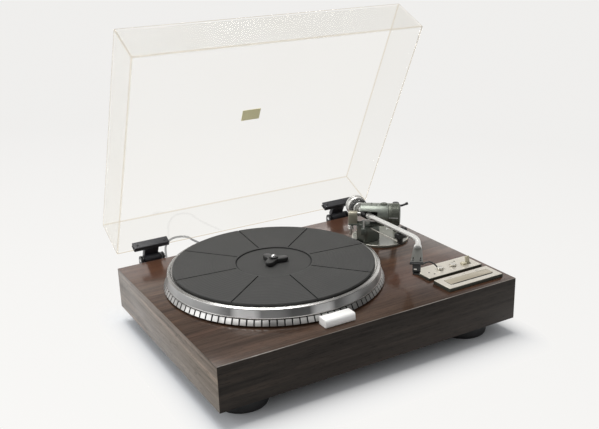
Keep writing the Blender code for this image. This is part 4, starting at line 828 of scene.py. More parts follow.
@dataclass(frozen=True)
class WoodFinish(Finish):
    """Dark veneer with its grain along one axis, under a satin lacquer."""

    smears: float = 0.07
    dust_colour: Colour = (0.3, 0.28, 0.26)
    along_depth: bool = False
    redness: float = 1.8

    def grain_vector(self, nodes: Nodes) -> Socket:
        """Where the surface is, with X along the grain."""
        return nodes.place(rotation=(0, 0, math.radians(90) if self.along_depth else 0))

    def pattern(self, nodes: Nodes, effects: Effects, vector: Socket) -> tuple[Socket, Socket]:
        """Figure, reddish streaks and pores, with a thinner lacquer over the pores.

        Args:
            nodes: the material's writer.
            effects: the shared node groups.
            vector: where the surface is; not used, as the grain reads its own turned place.

        Returns:
            The colour and the normal.
        """
        grain = nodes.group(effects.grain, Vector=self.grain_vector(nodes))
        red, green, blue = self.colour
        figure = nodes.ramp(grain["Figure"], [
            (0.38, tuple(channel * 0.4 for channel in self.colour)),
            (0.47, tuple(channel * 0.78 for channel in self.colour)),
            (0.53, self.colour), (0.62, (red * 1.55, green * 1.45, blue * 1.35))])
        warm = nodes.mix(nodes.times(grain["Red"], 0.45), figure,
                         (red * self.redness, green * 1.1, blue * 0.95))
        shader = nodes.tree.nodes["Principled BSDF"]
        shader.inputs["Specular IOR Level"].default_value = 0.05
        lacquer = nodes.span(grain["Pores"], 0.0, 1.0, self.coat, self.coat * 0.35)
        nodes.feed(shader.inputs["Coat Weight"],
                   nodes.times(lacquer, nodes.span(grain["Figure"], 0.4, 0.6, 0.8, 1.2)))
        return (nodes.mix(nodes.times(grain["Pores"], 0.8), warm, (0.004, 0.003, 0.003)),
                nodes.bump(grain["Height"], 0.6, self.texture))

    def painted_edge_highlight(self, nodes: Nodes, colour: Socket) -> Socket:
        """The colour, with a painted highlight along the top front edge.

        Args:
            nodes: the material's writer.
            colour: the colour elsewhere.

        Returns:
            The colour with its painted edge highlight.
        """
        _, back, up = nodes.split(nodes.place())
        level = nodes.span(up, DECK_TOP - 0.0008, DECK_TOP - 0.0002)
        front = nodes.span(back, FRONT_Y + 0.0006, FRONT_Y + 0.0012, 1.0, 0.0)
        patches = nodes.span(nodes.noise(self.grain_vector(nodes), 9.0, 2.0), 0.35, 0.6, 0.2, 0.9)
        # A pale painted highlight along the top front edge, patchy along its length.
        return nodes.mix(nodes.times(nodes.times(level, front), patches), colour, (0.34, 0.31, 0.28))


@dataclass(frozen=True)
class TurnedFinish(Finish):
    """Metal or rubber with marks that run round an axis; on metal, painted highlights and painted shade round
    the axis.
    """

    smears: float = 0.05
    variation: float = 0.05
    centre: Point = PLATTER_AXIS
    density: float = 2600.0
    relief: float = 0.00001
    # streaks: how far the colour is darkened outside the painted highlights, a painted shade.
    streaks: float = 0.0
    # glints: painted highlights, each an angle round the axis, a half width and a strength.
    glints: tuple[tuple[float, float, float], ...] = ()

    def pattern(self, nodes: Nodes, effects: Effects, vector: Socket) -> tuple[Socket, Socket]:
        """Turning marks round the axis, and where streaks are set, painted highlights and painted shade round
        it.

        Args:
            nodes: the material's writer.
            effects: the shared node groups.
            vector: where the surface is, from the axis.

        Returns:
            The colour and the normal.
        """
        rings = nodes.group(effects.rings, Vector=vector, Density=self.density)
        colour = self.tones(nodes, rings["Tone"])
        # Painted light: the colour goes down to dim outside the painted highlights and up to full inside
        # them.
        if self.streaks > 0:
            dim = tuple(channel * (1 - self.streaks) for channel in self.colour)
            colour = nodes.mix(self.lit(nodes, vector), dim, colour)
        return colour, nodes.bump(rings["Height"], 1.0, self.relief)

    def lit(self, nodes: Nodes, vector: Socket) -> Socket:
        """How bright the metal is painted round its axis: broad painted reflection streaks and painted
        highlights.

        Args:
            nodes: the material's writer.
            vector: where the surface is, from the axis.

        Returns:
            The share of full brightness.
        """
        around = nodes.vector("NORMALIZE", nodes.vector("MULTIPLY", vector, (1.0, 1.0, 0.0)))
        # Broad painted reflection streaks round the axis, from a noise.
        lit = nodes.span(nodes.noise(around, 2.4, 1.0), 0.42, 0.62, 0.0, 0.3)
        for angle, width, strength in self.glints:
            middle = math.radians(angle)
            facing = nodes.vector("DOT_PRODUCT", around, (math.cos(middle), math.sin(middle), 0.0))
            rim, core = math.cos(math.radians(width)), math.cos(math.radians(width * 0.45))
            lit = nodes.math("MAXIMUM", lit, nodes.span(facing, rim, core, 0.0, strength))
        return lit


@dataclass(frozen=True)
class BrushedFinish(Finish):
    """Metal brushed along the width."""

    texture: float = 0.00002

    def pattern(self, nodes: Nodes, effects: Effects, vector: Socket) -> tuple[Socket, Socket]:
        """The colour and the normal: brush lines in tone and relief."""
        lines = nodes.group(effects.brushed, Vector=vector)
        return self.tones(nodes, lines["Tone"]), nodes.bump(lines["Height"], 0.8, self.texture)


@dataclass(frozen=True)
class AcrylicFinish(Finish):
    """Clear moulded acrylic, faintly cream, with a tan, darker colour where two walls meet as painted shade,
    and a faint painted glow on the panel.
    """

    smears: float = 0.015
    half: Point = (1.0, 1.0, 1.0)
    wall: float = 0.003
    # edge: the tan colour where two walls meet, a painted shade of the wall's thickness seen edge on.
    edge: Colour = (0.78, 0.7, 0.57)

    def make(self, effects: Effects) -> bpy.types.Material:
        """Glass that light passes for shadows, with painted shade where two walls meet and a faint painted
        glow on the panel.

        Args:
            effects: the shared node groups.

        Returns:
            The new material.
        """
        material, nodes, shader = self.start()
        vector = nodes.place(self.centre, (LID_OPEN, 0, 0))
        near = []
        for part, reach in zip(nodes.split(vector), self.half):
            distance = nodes.math("SUBTRACT", reach, nodes.math("ABSOLUTE", part))
            near.append(nodes.span(distance, self.wall * 0.2, self.wall * 0.9, 1.0, 0.0))
        side, end, panel = near
        corner = nodes.math("MAXIMUM", nodes.times(side, end), nodes.times(end, panel))
        edges = nodes.math("MAXIMUM", corner, nodes.times(side, panel))
        handling = nodes.group(effects.handling, Vector=vector, Amount=self.smears, Roughness=self.roughness)
        # Painted shade: the base colour goes to the tan edge colour where two walls meet.
        for name, value in (("Base Color", nodes.mix(nodes.times(edges, 0.85), self.colour, self.edge)),
                            ("Roughness", handling["Roughness"]), ("Transmission Weight", 1.0), ("IOR", 1.2)):
            nodes.feed(shader.inputs[name], value)
        rubbed = nodes.times(nodes.span(nodes.noise(vector, 5.0, 3.0), 0.4, 0.7), 0.5)
        passing = nodes.mix(rubbed, (0.992, 0.99, 0.982), (0.978, 0.972, 0.955))
        passing = nodes.mix(panel, passing, (0.998, 0.997, 0.992))
        clear = nodes.add("BsdfTransparent",
                          {"Color": nodes.mix(nodes.times(edges, 0.6), passing, self.edge)})
        path = nodes.add("LightPath").outputs
        direct = nodes.math("MAXIMUM", path["Is Camera Ray"], path["Is Transmission Ray"])
        # A faint painted glow on the panel, seen directly and through glass.
        painted_panel_glow = nodes.add("Emission", {"Color": (1.0, 0.99, 0.97),
                                      "Strength": nodes.times(nodes.times(panel, direct), 0.018)})
        clear_with_painted_glow = nodes.add("AddShader", {0: clear.outputs["BSDF"], 1: painted_panel_glow.outputs[0]})
        open_share = nodes.math("SUBTRACT", 0.9, nodes.times(edges, 0.25))
        blend = nodes.add("MixShader", {"Fac": nodes.math("MAXIMUM", path["Is Shadow Ray"], open_share),
                                        1: shader.outputs["BSDF"], 2: clear_with_painted_glow.outputs[0]})
        nodes.feed(material.node_tree.nodes["Material Output"].inputs["Surface"], blend.outputs["Shader"])
        return material


class Finishes:
    """Every finish of the object, made once."""

    def __init__(self, effects: Effects, lid_centre: Point, lid_half: Point) -> None:
        """Make the materials.

        Args:
            effects: the shared node groups.
            lid_centre: the middle of the open lid.
            lid_half: half the lid's width, depth and height.
        """
        slots = {
            "wood": (
                WoodFinish("rosewood", (0.066, 0.0365, 0.0225), 0.42, coat=0.66),
                # The front copy is darker as painted shade and the side copy lighter as painted light; on the
                # sides the grain runs along the depth.
                WoodFinish("rosewood_front_painted_shade", (0.024, 0.018, 0.0138), 0.36, texture=0.00004, dust=0.03,
                           coat=0.22, redness=1.3),
                WoodFinish("rosewood_side_painted_light", (0.18, 0.144, 0.116), 0.36, texture=0.00004, dust=0.03, coat=0.45,
                           along_depth=True, redness=1.1)),
            "dark_board": (Finish("fibre_board", (0.035, 0.028, 0.022), 0.8, texture=0.0002),),
            "foot_rubber": (Finish("foot_rubber", (0.012, 0.012, 0.013), 0.6),),
            "machined_aluminium": (
                # One aluminium in three copies: lip, flank and blocks get painted highlights and painted
                # shade round the rim; the flank is less metallic so its painted pattern shows.
                TurnedFinish("platter_metal", (0.72, 0.71, 0.69), 0.26, 1.0, streaks=0.55,
                             glints=((240.0, 36.0, 1.0), (322.0, 36.0, 1.0))),
                TurnedFinish("flank_metal", (0.95, 0.95, 0.95), 0.3, 0.55, streaks=0.84,
                             glints=((228.0, 8.5, 1.0), (266.0, 7.0, 0.6), (204.0, 20.0, 0.22),
                                     (325.0, 18.0, 0.45))),
                TurnedFinish("block_metal", (0.93, 0.92, 0.9), 0.36, 0.9, smears=0.08, density=1200.0,
                             relief=0.000006, streaks=0.8,
                             glints=((227.0, 15.0, 1.0), (256.0, 20.0, 0.42), (205.0, 22.0, 0.42),
                                     (310.0, 30.0, 0.35))),
                # Black for printed ticks and dashes, and painted shade in the strobe slits and along the
                # press plate.
                Finish("black_print_and_painted_shade", (0.008, 0.008, 0.008), 0.6)),
            "mat_rubber": (
                TurnedFinish("mat_rubber", (0.03, 0.03, 0.029), 0.7, variation=0.1, density=700.0,
                             relief=0.0001, dust=0.05),
                Finish("groove_painted_shade", (0.006, 0.006, 0.006), 0.9, dust=0.0)),
            "polished_steel": (
                Finish("polished_steel", (0.8, 0.8, 0.8), 0.12, 1.0, 0.03, 0.03, 0.000004),
                Finish("bright_chrome", (0.93, 0.92, 0.89), 0.22, 0.7, 0.03, texture=0.000004)),
            "arm_grey": (
                Finish("cast_grey", (0.165, 0.182, 0.162), 0.36, 0.65),
                Finish("housing_grey", (0.215, 0.235, 0.208), 0.36, 0.6),
                Finish("dial_grey", (0.12, 0.129, 0.107), 0.42, 0.5),
                TurnedFinish("base_grey", (0.24, 0.245, 0.21), 0.26, 0.35, variation=0.06, smears=0.08,
                             centre=(ARM_BASE[0], ARM_BASE[1] + FRONT_Y, DECK_TOP), density=1100.0),
                Finish("beige_metal", (0.36, 0.34, 0.27), 0.4, 0.6)),
            "magnet": (Finish("dark_steel", (0.14, 0.15, 0.14), 0.42, 0.7),),
            "stator_metal": (Finish("winding_copper", (0.55, 0.26, 0.13), 0.35, 0.9, texture=0.0002),),
            "satin_silver": (
                Finish("satin_tube", (0.72, 0.72, 0.7), 0.34, 0.6, 0.03, 0.04, 0.00001),
                Finish("knob_metal", (0.74, 0.72, 0.66), 0.28, 0.85, 0.04, texture=0.00002)),
            "champagne_panel": (
                BrushedFinish("panel_metal", (0.74, 0.7, 0.62), 0.36, 0.7, 0.06),
                BrushedFinish("panel_side_painted_shade", (0.085, 0.088, 0.072), 0.45, 0.4, 0.08),
                BrushedFinish("press_metal", (0.49, 0.44, 0.345), 0.38, 0.65, 0.08)),
            "cream_plastic": (Finish("cream_plastic", (0.5, 0.46, 0.34), 0.42),),
            "white_plastic": (Finish("white_plastic", (0.97, 0.965, 0.945), 0.36, variation=0.02),),
            "black_plastic": (Finish("black_plastic", (0.014, 0.014, 0.014), 0.38),
                              Finish("lead_red", (0.45, 0.03, 0.02), 0.45)),
            "black_metal": (Finish("black_metal", (0.018, 0.018, 0.02), 0.34, 0.2),
                            Finish("hinge_black", (0.022, 0.022, 0.027), 0.45, 0.1, texture=0.00006)),
            "headshell_grey": (Finish("shell_grey", (0.09, 0.092, 0.081), 0.38, 0.5, texture=0.00002),),
            "ring_black": (Finish("ring_black", (0.03, 0.03, 0.03), 0.42),
                           Finish("print_white", (0.8, 0.8, 0.78), 0.5)),
            "weight_metal": (Finish("weight_metal", (0.66, 0.655, 0.64), 0.3, 0.9, 0.03, texture=0.000006),),
            "gold_plate": (Finish("bare_gold", (0.92, 0.85, 0.52), 0.42, 0.05, 0.1, texture=0.00004),),
            "circuit_board": (Finish("board_green", (0.03, 0.13, 0.06), 0.42),),
            "warm_glass": (Finish("lamp_glass", (0.9, 0.55, 0.35), 0.12),),
            "cord_rubber": (Finish("cord_grey", (0.2, 0.2, 0.2), 0.46),),
            "clear_plastic": (AcrylicFinish("clear_acrylic", (0.985, 0.982, 0.965), 0.03, centre=lid_centre,
                                            half=lid_half),),
        }
        self.slots = {spec.name: slot for slot, specs in slots.items() for spec in specs}
        self.materials = {spec.name: spec.make(effects) for specs in slots.values() for spec in specs}


PIVOT_FRAME = at(*PIVOT, PIVOT_HEIGHT)
DRUM = PIVOT_FRAME @ Matrix.Rotation(-HEAD_ANGLE, 4, "Z")
ALONG = DRUM @ turn(90, "Y")
SIDEWAYS = Matrix(((0, 0, 1, 0), (1, 0, 0, 0), (0, 1, 0, 0), (0, 0, 0, 1)))
UPRIGHT = Matrix(((1, 0, 0, 0), (0, 0, -1, 0), (0, 1, 0, 0), (0, 0, 0, 1)))
SIDES = (("left", -1), ("right", 1))


@dataclass
class Assembly:
    """A group of pieces, dressed with the shared finishes and handed to the frame."""

    nodes: dict[str, Piece]
    finishes: Finishes

    def dress(self, piece: Piece, body: Body, finish: str, *solids: str) -> Piece:
        """Give a new piece its finish and its body.

        Args:
            piece: the finished mesh or curve.
            body: the body that it moves with.
            finish: the name of its finish.
            solids: the solids that it stands for.

        Returns:
            The same piece.
        """
        piece.data.materials.clear()
        piece.data.materials.append(self.finishes.materials[finish])
        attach(piece, body.value)
        if solids:
            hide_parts(*solids)
        LOG.info("%s: %d faces, %s", piece.name, len(getattr(piece.data, "polygons", ())), finish)
        return piece

    def second(self, piece: Piece, finish: str, chosen: Callable[[bpy.types.MeshPolygon], bool]) -> None:
        """Give the chosen faces of a dressed piece another finish.

        Args:
            piece: the dressed piece.
            finish: the name of the other finish.
            chosen: says which faces.
        """
        piece.data.materials.append(self.finishes.materials[finish])
        for face in filter(chosen, piece.data.polygons):
            face.material_index = len(piece.data.materials) - 1

    def coat(self, finish: str, *solids: str) -> None:
        """Give solids that stay as they are a finish.

        Args:
            finish: the name of the finish.
            solids: their names.
        """
        for name in solids:
            materials = self.nodes[name].data.materials
            materials.clear()
            materials.append(self.finishes.materials[finish])
            LOG.info("%s: solid kept, %s", name, finish)

    def screw(self, name: str, frame: Matrix, radius: float, body: Body,
              finish: str = "polished_steel") -> None:
        """A round-headed screw with a slot, standing on the frame's plane.

        Args:
            name: the piece's name.
            frame: the seat, with Z outwards.
            radius: the head's radius.
            body: the body that it moves with.
            finish: the name of its finish.
        """
        rise = radius * 0.45
        head = turned(name, [(radius * 0.96, -0.0002), (radius, rise * 0.3), (radius * 0.88, rise * 0.75),
                             (radius * 0.5, rise), (radius * 0.05, rise * 1.06)], frame, 28)
        slot = cutter((-radius * 1.2, -radius * 0.11, rise * 0.5),
                      (radius * 1.2, radius * 0.11, rise * 2), frame)
        self.dress(carve(head, slot), body, finish)


@dataclass
class Plinth(Assembly):
    """The veneered case with its feet and what stands on its back."""

    width: float = 0.475
    depth: float = 0.364
    height: float = 0.0635
    wall: float = 0.018
    top: float = 0.012
    foot_radius: float = 0.036
    foot_height: float = 0.0179
    foot_inset_x: float = 0.054
    foot_inset_y: float = 0.052

    def build(self) -> None:
        """Make the veneered shell, the feet, and dress the solids inside."""
        self.shell()
        self.feet()
        self.back()
        self.coat("fibre_board", "base_board")
        self.coat("dark_steel", "transformer", "rotor_magnet", "bearing_sleeve")
        self.coat("winding_copper", "motor_stator")
        self.coat("board_green", "control_board")

    def shell(self) -> None:
        """The veneered case, open below, with crisp but softened edges."""
        half, wall = self.width / 2, self.wall
        frame = at(0, 0, 0)
        shell = brick("plinth_veneer", (-half, 0, -self.height), (half, self.depth, 0), frame, 0.0007, 2)
        inside = cutter((-half + wall, wall, -self.height - 0.01),
                        (half - wall, self.depth - wall, -self.top), frame)
        motor = dowel("motor_hole", (*PLATTER, -0.03), (*PLATTER, 0.01), 0.064, frame, steps=96)
        pillar = dowel("pillar_hole", (*PIVOT, -0.03), (*PIVOT, 0.01), 0.0143, frame)
        carve(shell, inside, motor, pillar)
        self.dress(shell, Body.CASE, "rosewood", "deck", "front_wall", "rear_wall", "left_wall", "right_wall")
        # Painted light: the sides get the lighter copy of the veneer.
        self.second(shell, "rosewood_side_painted_light",
                    lambda face: abs(face.normal.x) > 0.7 and abs(face.center.x) > half - 0.002)
        # Painted shade: the front gets the darker copy of the veneer.
        self.second(shell, "rosewood_front_painted_shade",
                    lambda face: face.normal.y < -0.9 and face.center.y < FRONT_Y + 0.001)
        self.second(shell, "fibre_board",
                    lambda face: face.center.z < DECK_TOP - 0.001 and abs(face.center.x) < half - 0.001
                    and 0.001 < face.center.y - FRONT_Y < self.depth - 0.001)

    def feet(self) -> None:
        """Four round feet with a domed edge and a ring under them round a shallow recess."""
        radius, height = self.foot_radius, self.foot_height
        profile = rounded([(0.004, 0.0016), (radius - 0.01, 0.0016), (radius - 0.01, 0.0),
                           (radius - 0.001, 0.0),
                           (radius, 0.005), (radius, height), (0.004, height)], 0.0016, 4)
        foot = turned("foot", profile, Matrix.Identity(4), 64)
        places = {}
        for side, sign in SIDES:
            for end, back in (("front", self.foot_inset_y), ("rear", self.depth - self.foot_inset_y)):
                places[f"{end}_{side}"] = at(sign * (self.width / 2 - self.foot_inset_x), back, -DECK_TOP)
        named = {f"rubber_foot_{corner}": place for corner, place in places.items()}
        for piece, corner in zip(copies(foot, named), places):
            self.dress(piece, Body.CASE, "foot_rubber", f"foot_{corner}")

    def back(self) -> None:
        """Signal sockets, the earth terminal and the cord's gland on the back."""
        self.coat("foot_rubber", "cord_gland")
        frame = at(0.11, self.depth + GAP, -0.036)
        plate = brick("socket_face", (-0.032, 0, -0.01), (0.032, 0.0015, 0.01), frame, 0.0004, 2)
        self.dress(plate, Body.CASE, "black_plastic", "socket_plate")
        outwards = frame @ turn(-90, "X")
        collar = [(0.0024, 0.0012), (0.0042, 0.0012), (0.0042, 0.0088), (0.0038, 0.0092), (0.0024, 0.0092)]
        for name, across, finish in (("left", -0.018, "print_white"), ("right", 0.0, "lead_red")):
            place = outwards @ move(across, 0, 0)
            ring = turned(f"socket_{name}", collar, place, 40, ring=True)
            self.dress(ring, Body.CASE, "knob_metal")
            heart = dowel(f"socket_core_{name}", (0, 0, 0.0012), (0, 0, 0.0062), 0.0022, place, edge=0.0004)
            self.dress(heart, Body.CASE, finish)
        post = [(0.002, 0.0012), (0.002, 0.005), (0.0042, 0.005), (0.0042, 0.0095), (0.0036, 0.01),
                (0.001, 0.01)]
        terminal = turned("earth_terminal", post, outwards @ move(0.018, 0, 0), 24)
        self.dress(terminal, Body.CASE, "knob_metal")


@dataclass
class Platter(Assembly):
    """The platter with its strobe blocks, the mat, the spindle and the adapter."""

    blocks: int = 100
    steps: int = 300
    block_foot: Flat = (0.1604, 0.003)
    block_head: Flat = (0.157, 0.0099)
    slit: float = 0.002
    mat_radius: float = 0.1476
    mat_foot: float = 0.0246
    mat_top: float = 0.0283
    label_radius: float = 0.0555
    grooves: int = 8
    groove_turn: float = -5.5
    groove_start: float = 0.0585
    groove_depth: float = 0.0013

    def build(self) -> None:
        """Make the turned disc, the blocks, the mat, the spindle and the adapter."""
        self.disc()
        self.strobe_blocks()
        self.mat()
        self.spindle()
        self.adapter()

    def disc(self) -> None:
        """The turned disc with its lip, flank, bead and band; the bright and dark zones of lip and flank are
        painted highlights and painted shade, and the band is painted black as shade.
        """
        profile = [(0.1506, 0.0249), (0.1513, 0.0253), (0.1543, 0.0246), (0.1552, 0.024), (0.1556, 0.0232),
                   (0.157, 0.013), (0.1572, 0.0124), (0.1576, 0.012), (0.1578, 0.0114), (0.1576, 0.0108),
                   (0.1566, 0.0103), (0.1603, 0.0026), (0.1603, 0.0021), (0.1598, 0.002), (0.1515, 0.002),
                   (0.1515, 0.0188), (0.014, 0.0188), (0.014, 0.012), (0.0039, 0.012), (0.0039, 0.0243),
                   (0.1486, 0.0243), (0.1502, 0.0245)]
        disc = turned("platter_disc", profile, at(*PLATTER, 0), self.steps, ring=True, smooth=24.0)
        self.dress(disc, Body.PLATTER, "platter_metal", "platter")
        # Painted shade: the band behind the strobe blocks goes black; the flank gets painted highlights and
        # painted shade.
        for finish, low, high, inner in (("black_print_and_painted_shade", 0.0026, 0.0103, 0.157),
                                         ("flank_metal", 0.0126, 0.0236, 0.1554)):
            self.second(disc, finish,
                        lambda face: low < face.center.z - DECK_TOP < high and away(face.center) > inner)

    def strobe_blocks(self) -> None:
        """A hundred small blocks round the foot of the rim, brightened by painted highlights, with their
        sides painted black as shade in the slits.
        """
        pitch = math.tau / self.blocks
        low, high = self.block_foot, self.block_head
        half_low = (low[0] * pitch - self.slit) / 2
        half_high = (high[0] * pitch - self.slit) / 2
        corners = ((low, -half_low), (low, half_low), (high, half_high), (high, -half_high))
        shape = bmesh.new()
        for index in range(self.blocks):
            around = Matrix.Rotation(index * pitch, 4, "Z")
            back, front = ([shape.verts.new(around @ Vector((radius + out, side, height)))
                            for (radius, height), side in corners] for out in (-0.0006, 0.001))
            shape.faces.new(front)
            shape.faces.new(back[::-1])
            for side in range(4):
                after = (side + 1) % 4
                shape.faces.new((back[side], back[after], front[after], front[side]))
        mesh = bpy.data.meshes.new("strobe_blocks")
        shape.to_mesh(mesh)
        shape.free()
        blocks = linked("strobe_blocks", mesh)
        apply(blocks, "BEVEL", width=0.00018, segments=1)
        settle(blocks, "strobe_blocks", at(*PLATTER, 0))
        self.dress(blocks, Body.PLATTER, "block_metal")

        def is_side(face: bpy.types.MeshPolygon) -> bool:
            """Whether a block's face looks along the rim or down."""
            outwards = (Vector(face.center).xy - Vector(PLATTER_AXIS).xy).normalized()
            return abs(Vector(face.normal).xy.dot(outwards)) < 0.6 and face.normal.z < 0.6
        # Painted shade: the blocks' sides and undersides go black, standing in for shade in the slits.
        self.second(blocks, "black_print_and_painted_shade", is_side)

    def mat(self) -> None:
        """The rubber mat with fine ribs, a sunk label area and radial grooves; the grooves and the step round
        the label are painted black as shade.
        """
        edge, low, high, ring = self.mat_radius, self.mat_foot, self.mat_top, self.label_radius
        sunk, rib = high - 0.0015, 0.0024
        profile = [(0.0039, low), (edge - 0.0004, low), (edge, low + 0.0005), (edge, high - 0.0007),
                   (edge - 0.0007, high), (edge - 0.0016, high)]
        radius = edge - 0.004
        while radius > ring + 0.004:
            profile += [(radius, high), (radius - rib * 0.25, high - 0.0001), (radius - rib * 0.5, high)]
            radius -= rib * 2
        profile += [(ring + 0.001, high), (ring + 0.0004, high - 0.0003), (ring, sunk - 0.0003),
                    (ring - 0.0012, sunk - 0.0003), (ring - 0.0014, sunk), (0.0039, sunk)]
        mat = turned("record_mat", profile, at(*PLATTER, 0), 240, ring=True, smooth=40.0)
        floor = high - self.groove_depth
        cutters = []
        for index in range(self.grooves):
            spin = at(*PLATTER, 0) @ turn(self.groove_turn + index * 360 / self.grooves, "Z")
            cutters.append(cutter((self.groove_start, -0.00095, floor),
                                  (edge + 0.002, 0.00095, high + 0.001), spin))
        carve(mat, joined("grooves", cutters), smooth=40.0)
        self.dress(mat, Body.PLATTER, "mat_rubber", "mat")

        def in_groove(face: bpy.types.MeshPolygon) -> bool:
            """Whether a face belongs to a groove or to the step round the label.

            Args:
                face: a face of the mat.

            Returns:
                True on a groove's floor or wall, or on that step.
            """
            reach = away(face.center)
            if ring - 0.0014 < reach < ring + 0.0004:
                return True
            if reach < self.groove_start - 0.001 or reach > edge - 0.0002:
                return False
            return abs(face.center.z - DECK_TOP - floor) < 0.0001 or abs(face.normal.z) < 0.1
        # Painted shade: the grooves and the step round the label get a black finish.
        self.second(mat, "groove_painted_shade", in_groove)

    def spindle(self) -> None:
        """The bright spindle with its rounded tip."""
        profile = [(0.0034, -0.038), (0.0036, -0.0375), (0.0036, 0.0345), (0.0032, 0.0364), (0.0024, 0.0378),
                   (0.0014, 0.0384), (0.0006, 0.0385)]
        pin = turned("spindle_pin", profile, at(*PLATTER, 0), 40)
        self.dress(pin, Body.PLATTER, "polished_steel", "spindle")

    def adapter(self, lobe: float = 0.0062, reach: float = 0.0215, hub: float = 0.0085,
                low: float = 0.0276) -> None:
        """The black three-lobed adapter with a bevelled edge and raised hub.

        Args:
            lobe: the radius of a lobe's end.
            reach: from the middle to a lobe's end.
            hub: from the middle to the valleys between the lobes.
            low: the height of its underside.
        """
        outline: list[Flat] = []
        for middle in (100, 220, 340):
            angle, valley = math.radians(middle), math.radians(middle + 60)
            centre = ((reach - lobe) * math.cos(angle), (reach - lobe) * math.sin(angle))
            outline += arc(lobe, middle - 75, middle + 75, 9, centre)
            outline.append((hub * math.cos(valley), hub * math.sin(valley)))
        frame = at(*PLATTER, 0)
        star = sheet("single_adapter", outline, low, low + 0.0062, frame, 0.0012)
        ring = turned("adapter_hub", [(0.0066, low + 0.002), (0.0066, low + 0.0078), (0.006, low + 0.0084),
                                      (0.0045, low + 0.0084)], frame, 48)
        weld(star, ring)
        bore = dowel("adapter_bore", (0, 0, low - 0.01), (0, 0, low + 0.02), 0.0039, frame)
        self.dress(carve(star, bore), Body.ADAPTER, "black_plastic", "adapter")


@dataclass
class Controls(Assembly):
    """The strobe housing and the two panels with what is pressed, turned and tipped."""

    rear_low: Flat = (0.127, 0.0595)
    rear_high: Flat = (0.2255, 0.099)
    rear_top: float = 0.0043
    knobs: Flat = (0.162, 0.186)
    knob_back: float = 0.0785
    front_low: Flat = (0.1265, 0.0135)
    front_high: Flat = (0.2245, 0.0495)
    front_top: float = 0.0053

    def build(self) -> None:
        """Make the housing and both panels."""
        self.strobe()
        self.rear_panel()
        self.knob_pair()
        self.paddle()
        self.rear_marks()
        self.front_panel()

    def strobe(self) -> None:
        """The milky lamp housing with its sloped front edge."""
        frame = at(-0.054, 0.022, GAP)
        side = [(-0.0085, 0.0), (-0.0085, 0.0088), (-0.0066, 0.011), (0.0085, 0.011), (0.0085, 0.0)]
        cover = sheet("strobe_cover", rounded(side, 0.001, 4, True), -0.023, 0.023, frame @ SIDEWAYS, 0.0006)
        hollow = cutter((-0.0214, -0.0069, -0.002), (0.0214, 0.0069, 0.0094), frame)
        self.dress(carve(cover, hollow), Body.CASE, "white_plastic", "strobe_housing")
        self.coat("lamp_glass", "strobe_lamp")

    def slab(self, name: str, low: Flat, high: Flat, top: float, solid: str,
             cutters: Sequence[Piece]) -> None:
        """A panel with a bright face and sloped sides, which are painted dark as shade.

        Args:
            name: the piece's name.
            low: its near left corner.
            high: its far right corner.
            top: the height of its face.
            solid: the solid that it stands for.
            cutters: shapes taken out of it.
        """
        panel = brick(name, (*low, GAP), (*high, top), at(0, 0, 0), 0.0)
        face_z = DECK_TOP + top - 0.0001
        with editing(panel, "EDGE", lambda edge: min(vertex.co.z for vertex in edge.verts) > face_z):
            bpy.ops.mesh.bevel(offset=0.0007, segments=2, affect="EDGES")
        self.dress(carve(panel, *cutters), Body.CASE, "panel_metal", solid)
        # Painted shade on the panel's sides.
        self.second(panel, "panel_side_painted_shade", lambda face: face.normal.z < 0.5)

    def rear_panel(self) -> None:
        """The rear panel with its wells and the paddle's slot."""
        frame, back = at(0, 0, 0), self.knob_back
        cutters = [cutter((0.2072, 0.07, 0.0009), (0.2148, 0.079, 0.01), frame)]
        for across in self.knobs:
            for low, radius, steps in ((0.0012, 0.0019, 32), (self.rear_top - 0.0003, 0.0066, 48)):
                cutters.append(dowel("knob_well", (across, back, low), (across, back, 0.01), radius, frame,
                                     steps=steps))
        self.slab("rear_plate", self.rear_low, self.rear_high, self.rear_top, "rear_panel", cutters)

    def knob_pair(self) -> None:
        """The two low round knobs, each with its mark."""
        profile = [(0.0016, -0.0029), (0.0016, GAP), (0.0048, GAP), (0.005, GAP + 0.0003),
                   (0.005, GAP + 0.0023), (0.0045, GAP + 0.003), (0.003, GAP + 0.0028)]
        for name, across, body in zip(("left", "right"), self.knobs, (Body.PITCH_LEFT, Body.PITCH_RIGHT)):
            place = at(across, self.knob_back, self.rear_top)
            knob = turned(f"pitch_cap_{name}", profile, place, 60)
            mark = cutter((-0.0003, 0.0012, GAP + 0.0025), (0.0003, 0.006, GAP + 0.004), place)
            self.dress(carve(knob, mark), body, "knob_metal", f"pitch_knob_{name}")

    def rear_marks(self) -> None:
        """Small dark windows and the ticks round the knobs."""
        top = self.rear_top
        marks = []
        for across, back in ((0.14, 0.077), (0.144, 0.069), (0.1985, 0.0905)):
            marks.append(dowel("lamp_window", (across, back, top - 0.0002), (across, back, top + 0.0003),
                               0.0012, at(0, 0, 0), edge=0.0002, steps=24))
        self.dress(joined("panel_marks", marks), Body.CASE, "black_plastic")
        ticks = []
        for across in self.knobs:
            for angle in range(-140, 141, 35):
                spin = at(across, self.knob_back, top) @ turn(angle, "Z")
                ticks.append(cutter((-0.00016, 0.0072, -0.0001), (0.00016, 0.0084, 0.00005), spin))
        # The ticks are print.
        self.dress(joined("knob_ticks", ticks), Body.CASE, "black_print_and_painted_shade")

    def paddle(self) -> None:
        """The small cream paddle with a rounded tip, leaning over its seat."""
        seat = brick("paddle_seat", (0.1995, 0.0705, self.rear_top - 0.0002),
                     (0.2065, 0.0785, self.rear_top + 0.0026), at(0, 0, 0), 0.0006)
        self.dress(seat, Body.CASE, "cream_plastic")
        frame = at(0.211, 0.0745, 0.0025) @ turn(-12, "X") @ turn(90, "Y")
        outline = arc(0.0012, -90, 90, 7) + arc(0.0012, 90, 270, 9, (-0.0113, 0.0))
        paddle = sheet("paddle", outline, -0.0035, 0.0035, frame, 0.0004)
        self.dress(paddle, Body.POWER, "cream_plastic", "power_lever")

